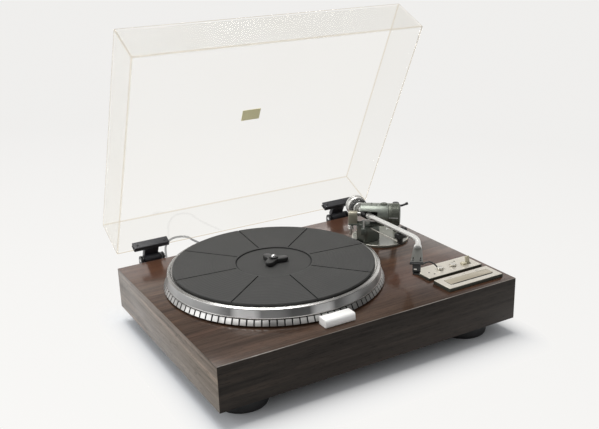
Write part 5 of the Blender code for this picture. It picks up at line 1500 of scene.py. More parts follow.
    def front_panel(self) -> None:
        """The front panel with its press plate in a recess, and a painted shadow strip along the plate's
        front.
        """
        top, frame = self.front_top, at(0, 0, 0)
        pocket = cutter((0.1375, 0.0245, top - 0.0036), (0.2165, 0.0405, 0.02), frame)
        self.slab("front_plate", self.front_low, self.front_high, top, "front_panel", [pocket])
        plate = brick("press_bar", (0.138, 0.025, top - 0.0021), (0.216, 0.04, top + 0.0004), frame, 0.0005)
        self.dress(plate, Body.PRESS, "press_metal", "press_plate")
        # Painted shade on the press plate's sides.
        self.second(plate, "panel_side_painted_shade", lambda face: face.normal.z < 0.2)
        # A black strip along the plate's front and left side: a painted shadow.
        shades = [cutter((left, near, top - 0.0001), (right, far, top + 0.0001), frame)
                  for left, near, right, far in ((0.1395, 0.0228, 0.2135, 0.025),
                                                 (0.1372, 0.0237, 0.1384, 0.0325))]
        self.dress(joined("press_shadow", shades), Body.CASE, "black_print_and_painted_shade")
        dashes = [cutter((across - 0.003, 0.0436, top - 0.0001), (across + 0.003, 0.044, top + 0.00005),
                         frame) for across in (0.152, 0.177, 0.202)]
        self.dress(joined("panel_dashes", dashes), Body.CASE, "black_print_and_painted_shade")


@dataclass
class ArmBase(Assembly):
    """What the tonearm stands on: disc, block, rest, cueing post and lever, and lifter."""

    post: Flat = (0.206, 0.25)
    bar_height: float = 0.028

    def build(self) -> None:
        """Make the disc, the block, the rest and the cueing parts."""
        self.disc()
        self.block()
        self.rest()
        self.cueing()

    def disc(self) -> None:
        """The round base with a raised outer rim, whose top is given bright metal as a painted highlight, and
        three screws.
        """
        frame = at(*ARM_BASE, GAP)
        profile = rounded([(0.002, 0.003), (0.0448, 0.003), (0.0451, 0.0036), (0.0461, 0.0036),
                           (0.0465, 0.0032), (0.0465, 0.0), (0.002, 0.0)], 0.0002, 3)
        disc = turned("arm_disc", profile, frame, 160)
        bore = dowel("disc_bore", (-0.03, -0.001, -0.01), (-0.03, -0.001, 0.02), 0.0143, frame)
        self.dress(carve(disc, bore), Body.CASE, "base_grey", "arm_flange")
        middle = (ARM_BASE[0], ARM_BASE[1] + FRONT_Y)
        # The rim's top gets the bright knob metal: a painted highlight along the rim.
        self.second(disc, "knob_metal", lambda face: face.center.z > DECK_TOP + 0.0034
                    and away(face.center, middle) > 0.0452)
        for index, angle in enumerate((-75, 35, 150)):
            self.screw(f"base_screw_{index}", frame @ turn(angle, "Z") @ move(0.036, 0, 0.0026), 0.0024,
                       Body.CASE)
        post = [(0.005, 0.0025), (0.005, 0.0415), (0.0046, 0.042), (0.0046, 0.0426), (0.005, 0.0431),
                (0.005, 0.0437), (0.0044, 0.044), (0.0022, 0.044), (0.0022, 0.0385)]
        self.dress(turned("lever_post", post, at(*self.post, GAP), 48), Body.CASE, "cast_grey")

    def block(self) -> None:
        """The rounded block under the pivot, with its bearing collar."""
        frame = at(*PIVOT, 0)
        outline = rounded([(-0.01, -0.015), (0.02, -0.015), (0.02, 0.014), (-0.01, 0.014)], 0.006, 7, True)
        block = sheet("pillar_block", outline, 0.0039, 0.0292, frame, 0.0008)
        lug = brick("lug", (0, -0.004, 0.0192), (0.022, 0.004, 0.0292), frame @ turn(-132, "Z"), 0.0006)
        collar = dowel("collar", (0, 0, 0.028), (0, 0, 0.03), 0.0112, frame, edge=0.0003, steps=64)
        weld(block, lug, collar)
        bore = dowel("bore", (0, 0, 0.0097), (0, 0, 0.04), 0.0053, frame)
        self.dress(carve(block, bore), Body.CASE, "cast_grey", "arm_pillar")

    def rest(self) -> None:
        """The bar from the block and the clip that holds the resting tube."""
        frame = at(*PIVOT, 0)
        path = [(0, back, self.bar_height) for back in (-0.015, -0.04, -0.0905)]
        self.dress(wire("rest_arm", path, 0.0011, frame), Body.CASE, "knob_metal")
        side = [(-0.0018, 0.0255), (0.0018, 0.0255), (0.0018, 0.0357), (0.0095, 0.0357), (0.0095, 0.0522),
                (0.0043, 0.0522), (0.0043, 0.0462), (0.003, 0.0446), (0.001, 0.0437), (-0.001, 0.0437),
                (-0.007, 0.0437), (-0.007, 0.0357), (-0.0018, 0.0357)]
        clip = sheet("rest_clip", rounded(side, 0.001, 4, True), 0.089, 0.099, frame @ UPRIGHT, 0.0005)
        self.dress(clip, Body.CASE, "black_plastic", "arm_rest")
        tip = dowel("rest_pad", (0.007, -0.0892, 0.0495), (0.007, -0.0872, 0.0495), 0.0012, frame,
                    edge=0.0003, steps=20)
        self.dress(tip, Body.CASE, "print_white")

    def cueing(self) -> None:
        """The curved lifter under the tube and the bent lever on its post."""
        self.coat("satin_tube", "lifter_bar")
        frame = at(*self.post, 0.044) @ move(0, 0, 2 * GAP)
        cap = [(0.0018, -0.0055), (0.0018, 0.0), (0.0052, 0.0), (0.0056, 0.0004), (0.0056, 0.0074),
               (0.005, 0.0085), (0.002, 0.0085)]
        hub = turned("lever_hub", cap, frame, 48)
        path = smooth_chain([(0.003, 0.0, 0.004), (0.0062, -0.0022, 0.003), (0.0085, -0.0035, 0.0024),
                             (0.014, -0.0052, 0.0036), (0.0195, -0.007, 0.0055)], 0.0007)
        stalk = wire("lever_stalk", path, 0.0018, frame)
        tip = wire("lever_tip", [(0.016, -0.0058, 0.0043), (0.0178, -0.0064, 0.0049),
                                 (0.0195, -0.007, 0.0055)], 0.0023, frame)
        self.dress(weld(hub, stalk, tip), Body.CUE, "black_metal", "cue_lever")


@dataclass
class ArmHead(Assembly):
    """What swings level: yoke, bearing housing, the two dials and the balance weight."""

    radius: float = 0.018
    top: float = 0.0167
    bottom: float = 0.0147
    start: float = 0.006
    roof_start: float = -0.007
    end: float = 0.038
    plate_low: float = 0.03 - PIVOT_HEIGHT + GAP
    plate_thick: float = 0.0024
    ridges: int = 48

    def build(self) -> None:
        """Make the yoke, the housing, the dials and the balance weight."""
        self.yoke()
        self.housing()
        self.force_dial()
        self.skate_dial()
        self.balance()

    def yoke(self) -> None:
        """The plate on the pillar with its shaft and the left bearing ear."""
        low = self.plate_low
        high = low + self.plate_thick
        outline = rounded([(-0.027, -0.008), (0.038, -0.008), (0.038, 0.008), (-0.027, 0.008)],
                          0.003, 5, True)
        plate = sheet("swing_plate", outline, low, high, DRUM, 0.0004)
        disc = dowel("disc", (0, 0, low), (0, 0, high), 0.012, DRUM, edge=0.0003, steps=72)
        shaft = dowel("shaft", (0, 0, low - 0.02), (0, 0, high - 0.0005), 0.005, DRUM)
        self.dress(weld(plate, disc, shaft), Body.SWING, "cast_grey", "arm_yoke")
        side = rounded([(-0.006, low + 0.001), (-0.006, 0.0002), (-0.004, 0.0038), (0.004, 0.0038),
                        (0.006, 0.0002), (0.006, low + 0.001)], 0.0018, 5, True)
        ear = sheet("bearing_ear", side, -0.027, -0.0125, DRUM @ SIDEWAYS, 0.0008)
        bore = dowel("bore", (-0.03, 0, 0), (-0.01, 0, 0), 0.0028, DRUM)
        self.dress(carve(ear, bore), Body.SWING, "beige_metal")

    def housing(self) -> None:
        """The bearing housing: a drum with a flat roof, cut free round the tube."""
        roof = math.degrees(math.acos(self.top / self.radius))
        foot = math.degrees(math.acos(self.bottom / self.radius))
        outline = arc(self.radius, 180 + roof, 360 - foot, 30) + arc(self.radius, foot, 180 - roof, 30)
        housing = sheet("bearing_drum", outline, self.roof_start, self.end, ALONG, 0.0008)
        cutters = [
            brick("space", (-0.03, -0.03, -0.03), (self.start, 0.03, 0.0095), DRUM, 0.0008, 2),
            brick("slot", (0, -0.03, -0.03), (0.021, 0.01, 0.009), DRUM, 0.001, 3),
            dowel("bore", (0, 0, 0), (0.0273, 0, 0), 0.0028, DRUM),
            dowel("seat", (0.032, 0, 0), (0.05, 0, 0), 0.0033, DRUM),
            dowel("knob_bore", (0.03, 0, self.top - 0.004), (0.03, 0, 0.03), 0.0018, DRUM)]
        inner, outer = self.radius - 0.0004, self.radius + 0.002
        for low in (0.0235, 0.0255):
            high = low + 0.0005
            cutters.append(turned("line", [(inner, low), (outer, low), (outer, high), (inner, high)], ALONG,
                                  96, ring=True))
        self.dress(carve(housing, *cutters), Body.SWING, "housing_grey", "bearing_housing")
        for index, (along, across) in enumerate(((0.01, -0.0048), (0.0185, -0.0048), (0.01, 0.0048))):
            seat = DRUM @ move(0, 0, self.top) @ move(along, across, 0)
            self.screw(f"housing_screw_{index}", seat, 0.0013, Body.SWING, "black_metal")

    def force_dial(self) -> None:
        """The ridged end dial with its white index."""
        low = self.end + GAP
        high = low + 0.0177
        outline: list[Flat] = []
        pitch = 360 / self.ridges
        for middle in (index * pitch for index in range(self.ridges)):
            outline += arc(0.0173, middle - pitch * 0.3, middle - pitch * 0.22, 2)
            outline += arc(0.018, middle, middle + pitch * 0.42, 3)
        grip = sheet("force_grip", outline, low + 0.005, high - 0.0022, ALONG, 0.0)
        skirt = turned("skirt", rounded([(0.006, low), (0.018, low), (0.018, low + 0.0052),
                                         (0.006, low + 0.0052)], 0.0005, 3), ALONG, 120)
        face = turned("face", rounded([(0.006, high - 0.004), (0.0172, high - 0.004), (0.0172, high - 0.0012),
                                       (0.015, high), (0.01, high), (0.0095, high - 0.0006),
                                       (0.002, high - 0.0006)], 0.0005, 3), ALONG, 120)
        stem = dowel("stem", (0, 0, self.end - 0.0057), (0, 0, low + 0.002), 0.003, ALONG)
        self.dress(weld(grip, skirt, face, stem), Body.FORCE_DIAL, "dial_grey", "force_dial")
        index = brick("force_index", (-0.0003, -0.01815, low + 0.0006), (0.0003, -0.0178, high - 0.0026),
                      ALONG, 0.0)
        self.dress(index, Body.FORCE_DIAL, "print_white")

    def skate_dial(self) -> None:
        """The small slotted dial on the roof."""
        frame = DRUM @ move(0.03, 0, self.top + GAP)
        profile = [(0.0015, -0.0038), (0.0015, 0.0), (0.0053, 0.0), (0.0055, 0.0002), (0.0055, 0.001),
                   (0.0051, 0.0015), (0.0008, 0.0015)]
        knob = turned("skate_knob", profile, frame, 60)
        slot = cutter((-0.0006, -0.0045, 0.001), (0.0006, 0.0045, 0.003), frame)
        self.dress(carve(knob, slot), Body.SKATE_DIAL, "dial_grey", "anti_skate_dial")

    def balance(self) -> None:
        """The hanging rod and its small bright weight."""
        place = DRUM @ move(-0.0232, -0.002, 0.03 - PIVOT_HEIGHT)
        rod = [(0.0015, 0.004), (0.0015, 0.0), (0.0022, -0.0002), (0.0022, -0.0155), (0.0016, -0.0175),
               (0.0006, -0.018)]
        self.dress(turned("hanging_rod", rod, place, 28), Body.SWING, "bright_chrome", "balance_rod")
        weight = rounded([(0.0025, -0.002), (0.0045, -0.002), (0.0045, -0.0045), (0.0041, -0.005),
                          (0.0045, -0.0055), (0.0045, -0.008), (0.0025, -0.008)], 0.0004, 3)
        bob = turned("hanging_weight", weight, place, 40, ring=True)
        self.dress(bob, Body.BALANCE, "bright_chrome", "balance_weight")


@dataclass
class ArmTube(Assembly):
    """What tips: the block in the bearing, the tube, the head and the weights behind."""

    corner: float = 0.139
    radius: float = 0.004
    bend: float = 0.049
    tube_start: float = -0.0083
    shell_start: float = 0.041
    shell_length: float = 0.054
    shell_half: float = 0.0013
    body_height: float = 0.0125
    stylus_back: float = -0.088
    ridges: int = 30
    stub_turn: float = -14.951
    ring_bore: float = 0.0043
    ring_radius: float = 0.0145

    def head(self) -> Matrix:
        """The frame at the tube's corner, with -Y along the head."""
        return PIVOT_FRAME @ move(0, -self.corner, 0) @ Matrix.Rotation(-HEAD_ANGLE, 4, "Z")

    def stub(self) -> Matrix:
        """The pivot's frame with Y away from the stylus."""
        return PIVOT_FRAME @ turn(self.stub_turn, "Z")

    def build(self) -> None:
        """Make the block, tube, headshell, cartridge, stylus and weights."""
        self.block()
        self.tube()
        self.headshell()
        self.cartridge()
        self.stylus()
        self.leads()
        self.weights()

    def block(self) -> None:
        """The round block at the pivot with its bearing pins and the rear stub."""
        body = dowel("pivot_block", (0, -0.008, 0), (0, 0.007, 0), 0.007, PIVOT_FRAME, edge=0.0006, steps=56)
        pins = dowel("pins", (-0.0267, 0, 0), (0.027, 0, 0), 0.0025, DRUM, edge=0.0003, steps=32)
        stub = dowel("stub", (0, 0, 0), (0, 0.068, 0), 0.004, self.stub(), edge=0.0005, steps=40)
        self.dress(weld(body, pins, stub), Body.TONEARM, "black_metal", "gimbal_block")
        inverse = PIVOT_FRAME.inverted()
        self.second(body, "satin_tube", lambda face: (inverse @ Vector(face.center)).y > 0.0085)
        self.screw("block_screw", PIVOT_FRAME @ move(0, -0.0005, 0.0068), 0.0018, Body.TONEARM)

    def tube(self) -> None:
        """The bent tube with its collar and the head's locking ring."""
        start, end = self.tube_start, self.shell_start - GAP
        centre = (-self.bend, -self.corner + self.bend * math.tan(HEAD_ANGLE / 2))
        forward = Vector((-math.sin(HEAD_ANGLE), -math.cos(HEAD_ANGLE), 0))
        points = [(0, start, 0), (0, start - 0.04, 0), (0, start - 0.08, 0)]
        points += [(x, y, 0) for x, y in arc(self.bend, 0, -math.degrees(HEAD_ANGLE), 25, centre)]
        points.append(tuple(Vector((0, -self.corner, 0)) + forward * end))
        tube = wire("bent_tube", points, self.radius, PIVOT_FRAME, 8)
        collar = turned("collar", [(0.0046, 0.0), (0.005, 0.0004), (0.005, 0.006), (0.0046, 0.0065)],
                        PIVOT_FRAME @ move(0, start, 0) @ turn(90, "X"), 48)
        self.dress(weld(tube, collar, smooth=40.0), Body.TONEARM, "satin_tube", "arm_tube")
        outline: list[Flat] = []
        for middle in (index * 360 / self.ridges for index in range(self.ridges)):
            outline += arc(0.0051, middle - 4, middle - 3, 2) + arc(0.0055, middle, middle + 5, 2)
        lock = self.head() @ move(0, -end, 0) @ turn(-90, "X")
        self.dress(sheet("locking_ring", outline, 0.0006, 0.0104, lock, 0.0), Body.TONEARM, "satin_tube")

    def headshell(self) -> None:
        """The flat shell with its slots, black front edge, finger lift and screws."""
        frame = self.head()
        rear, front = -self.shell_start, -self.shell_start - self.shell_length
        shoulder = rear - 0.046
        outline = rounded([(-0.0064, rear), (-0.0084, shoulder), (-0.0084, front), (0.0084, front),
                           (0.0084, shoulder), (0.0064, rear)], 0.0012, 5, True)
        shell = sheet("head_plate", outline, -self.shell_half, self.shell_half, frame, 0.0003)
        slots = [cutter((sign * 0.0052 - 0.0007, front + 0.006, -0.01),
                        (sign * 0.0052 + 0.0007, front + 0.02, 0.01), frame) for _, sign in SIDES]
        self.dress(carve(shell, *slots), Body.TONEARM, "shell_grey", "headshell")
        across = front - 0.0013
        path = [(-0.0084, across, 0.0), (0.0084, across, 0.0)]
        for share in (index / 14 for index in range(1, 15)):
            rise = 0.0045 * math.sin(math.pi * share) - 0.003 * share * share
            path.append((0.0084 + 0.0195 * share, across, rise))
        finger = wire("finger_hook", path, 0.001, frame)
        self.dress(finger, Body.TONEARM, "black_plastic", "finger_lift")
        lip = brick("front_lip", (-0.0094, front - 0.0006, -0.0016), (0.0094, front + 0.0026, 0.0021), frame,
                    0.0004)
        self.dress(lip, Body.TONEARM, "black_plastic")
        for side, sign in SIDES:
            seat = frame @ move(sign * 0.0052, front + 0.0095, self.shell_half)
            self.screw(f"head_screw_{side}", seat, 0.0014, Body.TONEARM, "ring_black")

    def cartridge(self) -> None:
        """The cartridge with its stepped body and a bright band."""
        frame = self.head()
        front, top = -self.shell_start - self.shell_length, -self.shell_half - GAP
        low = top - self.body_height
        body = brick("cartridge_body", (-0.0056, front, low), (0.0056, front + 0.022, top), frame, 0.0006)
        notch = cutter((-0.01, front - 0.002, low - 0.002), (0.01, front + 0.004, low + 0.0035), frame)
        self.dress(carve(body, notch), Body.TONEARM, "black_plastic", "cartridge")
        band = brick("cartridge_band", (-0.0036, front - 0.0003, low + 0.005),
                     (0.0004, front + 0.0006, low + 0.0066), frame, 0.0001)
        self.dress(band, Body.TONEARM, "knob_metal")

    def stylus(self) -> None:
        """The stylus under the cartridge: its holder and the needle with its tip."""
        frame, back = self.head(), self.stylus_back
        foot = -self.shell_half - GAP - self.body_height - GAP - 0.0024
        holder = brick("stylus_holder", (-0.0048, back - 0.007, foot), (0.0048, back + 0.007, foot + 0.0024),
                       frame, 0.0005)
        self.dress(holder, Body.TONEARM, "black_plastic", "stylus")
        needle = dowel("needle", (0, back + 0.004, foot + 0.0012), (0, back, -0.0174), 0.0004, frame,
                       steps=14)
        tip = dowel("tip", (0, back, -0.0164), (0, back, -0.0177), 0.0003, frame, end_radius=0.00005,
                    steps=12)
        self.dress(joined("stylus_needle", [needle, tip]), Body.TONEARM, "polished_steel")

    def leads(self) -> None:
        """Four coloured leads from the cartridge's pins to the tube."""
        top = -self.shell_half - GAP
        low = top - self.body_height
        back = -self.shell_start - self.shell_length + 0.0222
        for index, (across, finish) in enumerate(((-0.0036, "lead_red"), (-0.0012, "print_white"),
                                                  (0.0012, "board_green"), (0.0036, "black_plastic"))):
            path = smooth_chain([(across, back, low + 0.007), (across, back + 0.004, low + 0.0062),
                                 (across * 0.9, back + 0.01, low + 0.007),
                                 (across * 0.6, back + 0.017, top - 0.0008),
                                 (across * 0.4, -self.shell_start - 0.004, top + 0.0006)], 0.0008)
            self.dress(wire(f"lead_{index}", path, 0.0004, self.head(), 2), Body.TONEARM, finish)

    def weights(self) -> None:
        """The numbered ring with its pale nose, and the bright counterweight."""
        frame, bore = self.stub() @ turn(-90, "X"), self.ring_bore
        ring = rounded([(bore, 0.036), (self.ring_radius, 0.036), (self.ring_radius, 0.0315),
                        (0.0113, 0.0283), (bore, 0.0283)], 0.0003, 3)
        self.dress(turned("number_ring", ring, frame, 96, ring=True), Body.RING, "ring_black", "scale_ring")
        nose = rounded([(bore, 0.0281), (0.0108, 0.0281), (0.0102, 0.026), (bore, 0.026)], 0.0004, 3)
        self.dress(turned("ring_nose", nose, frame, 72, ring=True), Body.RING, "satin_tube")
        marks = []
        for index in range(40):
            reach = 0.0345 if index % 5 else 0.0335
            marks.append(cutter((-0.00014, 0.01435, reach), (0.00014, 0.01456, 0.0358),
                                frame @ turn(index * 9.0, "Z")))
        self.dress(joined("ring_marks", marks), Body.RING, "print_white")
        self.numbers(frame)
        far = 0.0505
        weight = rounded([(bore, far), (0.0161, far), (0.0168, far - 0.0007), (0.0168, far - 0.004),
                          (0.0158, far - 0.0046), (0.0158, 0.0408), (0.0152, 0.04), (0.0152, 0.039),
                          (0.0158, 0.0385), (0.0158, 0.0367), (0.0154, 0.0363), (bore, 0.0363)], 0.0002, 3)
        self.dress(turned("rear_weight", weight, frame, 96, ring=True), Body.WEIGHT, "weight_metal",
                   "counterweight")

    def numbers(self, frame: Matrix) -> None:
        """Plain numbers round the ring's sloped face.

        Args:
            frame: the ring's axis.
        """
        slope = math.degrees(math.atan2(self.ring_radius - 0.0113, 0.0315 - 0.0283))
        lean = turn(-(180 - slope), "X") @ turn(180, "Z")
        texts = []
        for index in range(8):
            clear()
            bpy.ops.object.text_add()
            label = bpy.context.object.data
            label.body, label.size, label.extrude = str(index % 4), 0.0032, 0.00006
            label.align_x = label.align_y = "CENTER"
            place = frame @ turn(index * 45.0, "Z") @ move(0, 0.013, 0.0299)
            texts.append(settle(meshed(bpy.context.object), f"number_{index}", place @ lean))
        self.dress(joined("ring_numbers", texts), Body.RING, "print_white")


@dataclass
class Lid(Assembly):
    """The clear cover, its bare plate and the two hinges."""

    width: float = 0.4645
    depth: float = 0.359
    height: float = 0.0685
    wall: float = 0.003
    rim: float = 0.0051
    inset: float = 0.0204
    hinge_spacing: float = 0.35

    @staticmethod
    def closed(across: float = 0.0) -> Matrix:
        """The hinge axis as when the lid is closed."""
        return at(across, 0.382, -0.0031)

    @staticmethod
    def opened(across: float = 0.0) -> Matrix:
        """The hinge axis tipped back with the open lid."""
        return Lid.closed(across) @ Matrix.Rotation(-LID_OPEN, 4, "X")

    @classmethod
    def centre(cls) -> Point:
        """The middle of the lid, from the hinge axis."""
        return (0, -cls.inset - cls.depth / 2, cls.rim + cls.height / 2)

    @classmethod
    def half(cls) -> Point:
        """Half the lid's width, depth and height."""
        return (cls.width / 2, cls.depth / 2, cls.height / 2)

    def build(self) -> None:
        """Make the cover, the plate and the hinges."""
        self.cover()
        self.plate()
        for side, sign in SIDES:
            self.hinge(side, sign * self.hinge_spacing / 2)

    def cover(self) -> None:
        """The thin-walled cover, its corners slightly rounded."""
        clear()
        bpy.ops.mesh.primitive_cube_add(size=1, location=self.centre())
        cover = bpy.context.object
        cover.scale = (self.width, self.depth, self.height)
        bpy.ops.object.transform_apply(location=False, rotation=False, scale=True)
        with editing(cover, "FACE", lambda face: face.normal.z < -0.9):
            bpy.ops.mesh.delete(type="FACE")
        with editing(cover, "EDGE", lambda edge: not edge.is_boundary):
            bpy.ops.mesh.bevel(offset=0.0016, segments=3, affect="EDGES")
        apply(cover, "SOLIDIFY", thickness=self.wall, offset=-1, use_even_offset=True)
        settle(cover, "lid_cover", self.opened(), 40.0)
        self.dress(cover, Body.LID, "clear_acrylic", "lid")

    def plate(self) -> None:
        """The bare plate inside the panel, with a fine raised border."""
        inside = self.rim + self.height - self.wall - GAP
        middle = -self.inset - 0.183
        plate = brick("bare_plate", (-0.0158, middle - 0.0099, inside - 0.0008),
                      (0.0158, middle + 0.0099, inside), self.opened(), 0.00015, 1)
        with editing(plate, "FACE", lambda face: face.calc_area() > 0.0005):
            bpy.ops.mesh.inset(thickness=0.0008, depth=-0.0002, use_individual=True)
        self.dress(plate, Body.LID, "bare_gold", "badge_plate")

    def hinge(self, side: str, across: float) -> None:
        """One hinge: bracket, pin, barrel and the clamp on the lid's rear wall.

        Args:
            side: left or right, for the names.
            across: its place from the centre line.
        """
        leaf = self.opened(across)
        self.coat("black_metal", f"hinge_bracket_{side}")
        self.coat("polished_steel", f"hinge_pin_{side}")
        wall_out, wall_in = -self.inset + GAP, -self.inset - self.wall - GAP
        web_top, grip = self.rim - GAP, self.rim + 0.012
        web_low = web_top - 0.0013
        back, front = wall_out + 0.002, wall_in - 0.002
        clamp = brick(f"hinge_clamp_{side}", (-0.029, front, web_low), (0.029, back, grip), leaf, 0.0007, 3)
        slot = cutter((-0.04, wall_in, web_top), (0.04, wall_out, grip + 0.01), leaf)
        carve(clamp, slot)
        neck = brick("neck", (-0.0115, back - 0.001, web_low), (0.0115, 0.0, web_low + 0.0085), leaf, 0.0008)
        barrel = dowel("barrel", (-0.014, 0, 0), (0.014, 0, 0), 0.0075, leaf, edge=0.0007, steps=56)
        weld(clamp, neck, barrel)
        bore = dowel("bore", (-0.03, 0, 0), (0.03, 0, 0), 0.0028, leaf)
        ribs = [cutter((place - 0.0004, back + 0.003, web_low + 0.0079),
                       (place + 0.0004, -0.004, web_low + 0.02), leaf) for place in (-0.006, 0.0, 0.006)]
        self.dress(carve(clamp, bore, *ribs), Body.LID, "hinge_black", f"hinge_leaf_{side}")
        inner = leaf @ move(0, front, self.rim + 0.0048) @ turn(90, "X")
        wall = at(across, 0.364 + GAP + 0.003, -0.0031) @ turn(-90, "X")
        ends = (("near", -1), ("far", 1))
        for name, sign in ends:
            self.screw(f"clamp_screw_{side}_{name}", inner @ move(sign * 0.0225, 0, 0), 0.0022, Body.LID,
                       "black_metal")
        for name, sign in ends:
            for level, drop in (("high", 0.02), ("low", 0.04)):
                self.screw(f"bracket_screw_{side}_{name}_{level}", wall @ move(sign * 0.011, drop, 0), 0.0022,
                           Body.CASE)


@dataclass
class Cord(Assembly):
    """The mains cord from the gland to its coil and plug."""

    radius: float = 0.002
    floor: float = 0.0022
    loops: int = 9
    layers: int = 4
    outer: float = 0.027
    inner: float = 0.017
    rise: float = 0.0046
    coil_place: Flat = (0.05, 0.49)
    plug_height: float = 0.0075

    def build(self) -> None:
        falling = [
            (-0.115, 0.3926, 0.033), (-0.115, 0.402, 0.0322), (-0.1145, 0.415, 0.029),
            (-0.1135, 0.43, 0.022), (-0.112, 0.445, 0.013), (-0.11, 0.46, 0.0055),
            (-0.107, 0.475, 0.0026)]
        lying = [
            (-0.1035, 0.49), (-0.096, 0.525), (-0.088, 0.555), (-0.0775, 0.588), (-0.064, 0.623),
            (-0.048, 0.648), (-0.033, 0.659), (-0.018, 0.658), (-0.008, 0.646), (-0.006, 0.627),
            (-0.001, 0.602), (0.0075, 0.576), (0.016, 0.55), (0.0215, 0.525), (0.023, 0.508),
            (0.023, 0.4943)]
        route = falling + [(*place, self.floor) for place in lying]
        shifted = [point + Vector((0, FRONT_Y, 0)) for point in smooth_chain(route, 0.005) + self.coil()]
        lead = hose("mains_lead", shifted, self.radius, 4)
        self.dress(lead, Body.CASE, "cord_grey", "mains_cord", "cord_coil")
        plug = self.plug(shifted[-1])

    def coil(self, per_loop: int = 24, lead_out: int = 8) -> list[Vector]:
        """The coil's centre line, spiralling in and out in its layers.

        Args:
            per_loop: points in each loop.
            lead_out: points in the stretch down to the plug.

        Returns:
            The points, from the plinth's front corner.
        """
        each = self.loops / self.layers
        points = [Vector((-self.outer, 0.004, 0))]
        for travelled in (index / per_loop for index in range(self.loops * per_loop + 1)):
            phase = (travelled / each) % 2
            radius = self.outer - (self.outer - self.inner) * (phase if phase <= 1 else 2 - phase)
            level = 0.0
            for reversal in range(1, self.layers):
                share = min(max((travelled - reversal * each) / 0.5 + 0.5, 0.0), 1.0)
                level += share * share * (3 - 2 * share)
            angle = math.pi + travelled * math.tau
            points.append(Vector((radius * math.cos(angle), radius * math.sin(angle), level * self.rise)))
        top = points[-1].z
        drop = top - (self.plug_height - self.floor)
        for share in (index / lead_out for index in range(1, lead_out + 1)):
            points.append(Vector((-self.outer, -0.045 * share,
                                  top - drop * (share * share * (3 - 2 * share)))))
        points.append(points[-1] + Vector((0, -0.004, 0)))
        return [point + Vector((*self.coil_place, self.floor)) for point in points]

    def plug(self, end: Vector) -> list[Piece]:
        """The plug's waisted body with its two pins.

        Args:
            end: where the cord ends.

        Returns:
            The plug's pieces.
        """
        frame = Matrix.Translation(end)
        body = brick("plug_body", (-0.01, -GAP - 0.036, -0.0075), (0.01, -GAP, 0.0075), frame, 0.003, 4)
        for _, sign in SIDES:
            carve(body, dowel("waist", (sign * 0.0135, -0.014, -0.02), (sign * 0.0135, -0.014, 0.02),
                              0.006, frame, steps=48))
        pieces = [self.dress(body, Body.CASE, "black_plastic", "mains_plug")]
        for side, sign in SIDES:
            pin = dowel(f"plug_pin_{side}", (sign * 0.00625, -GAP - 0.0355, 0),
                        (sign * 0.00625, -GAP - 0.054, 0), 0.002, frame, edge=0.0006, steps=24)
            pieces.append(self.dress(pin, Body.CASE, "polished_steel"))
        return pieces


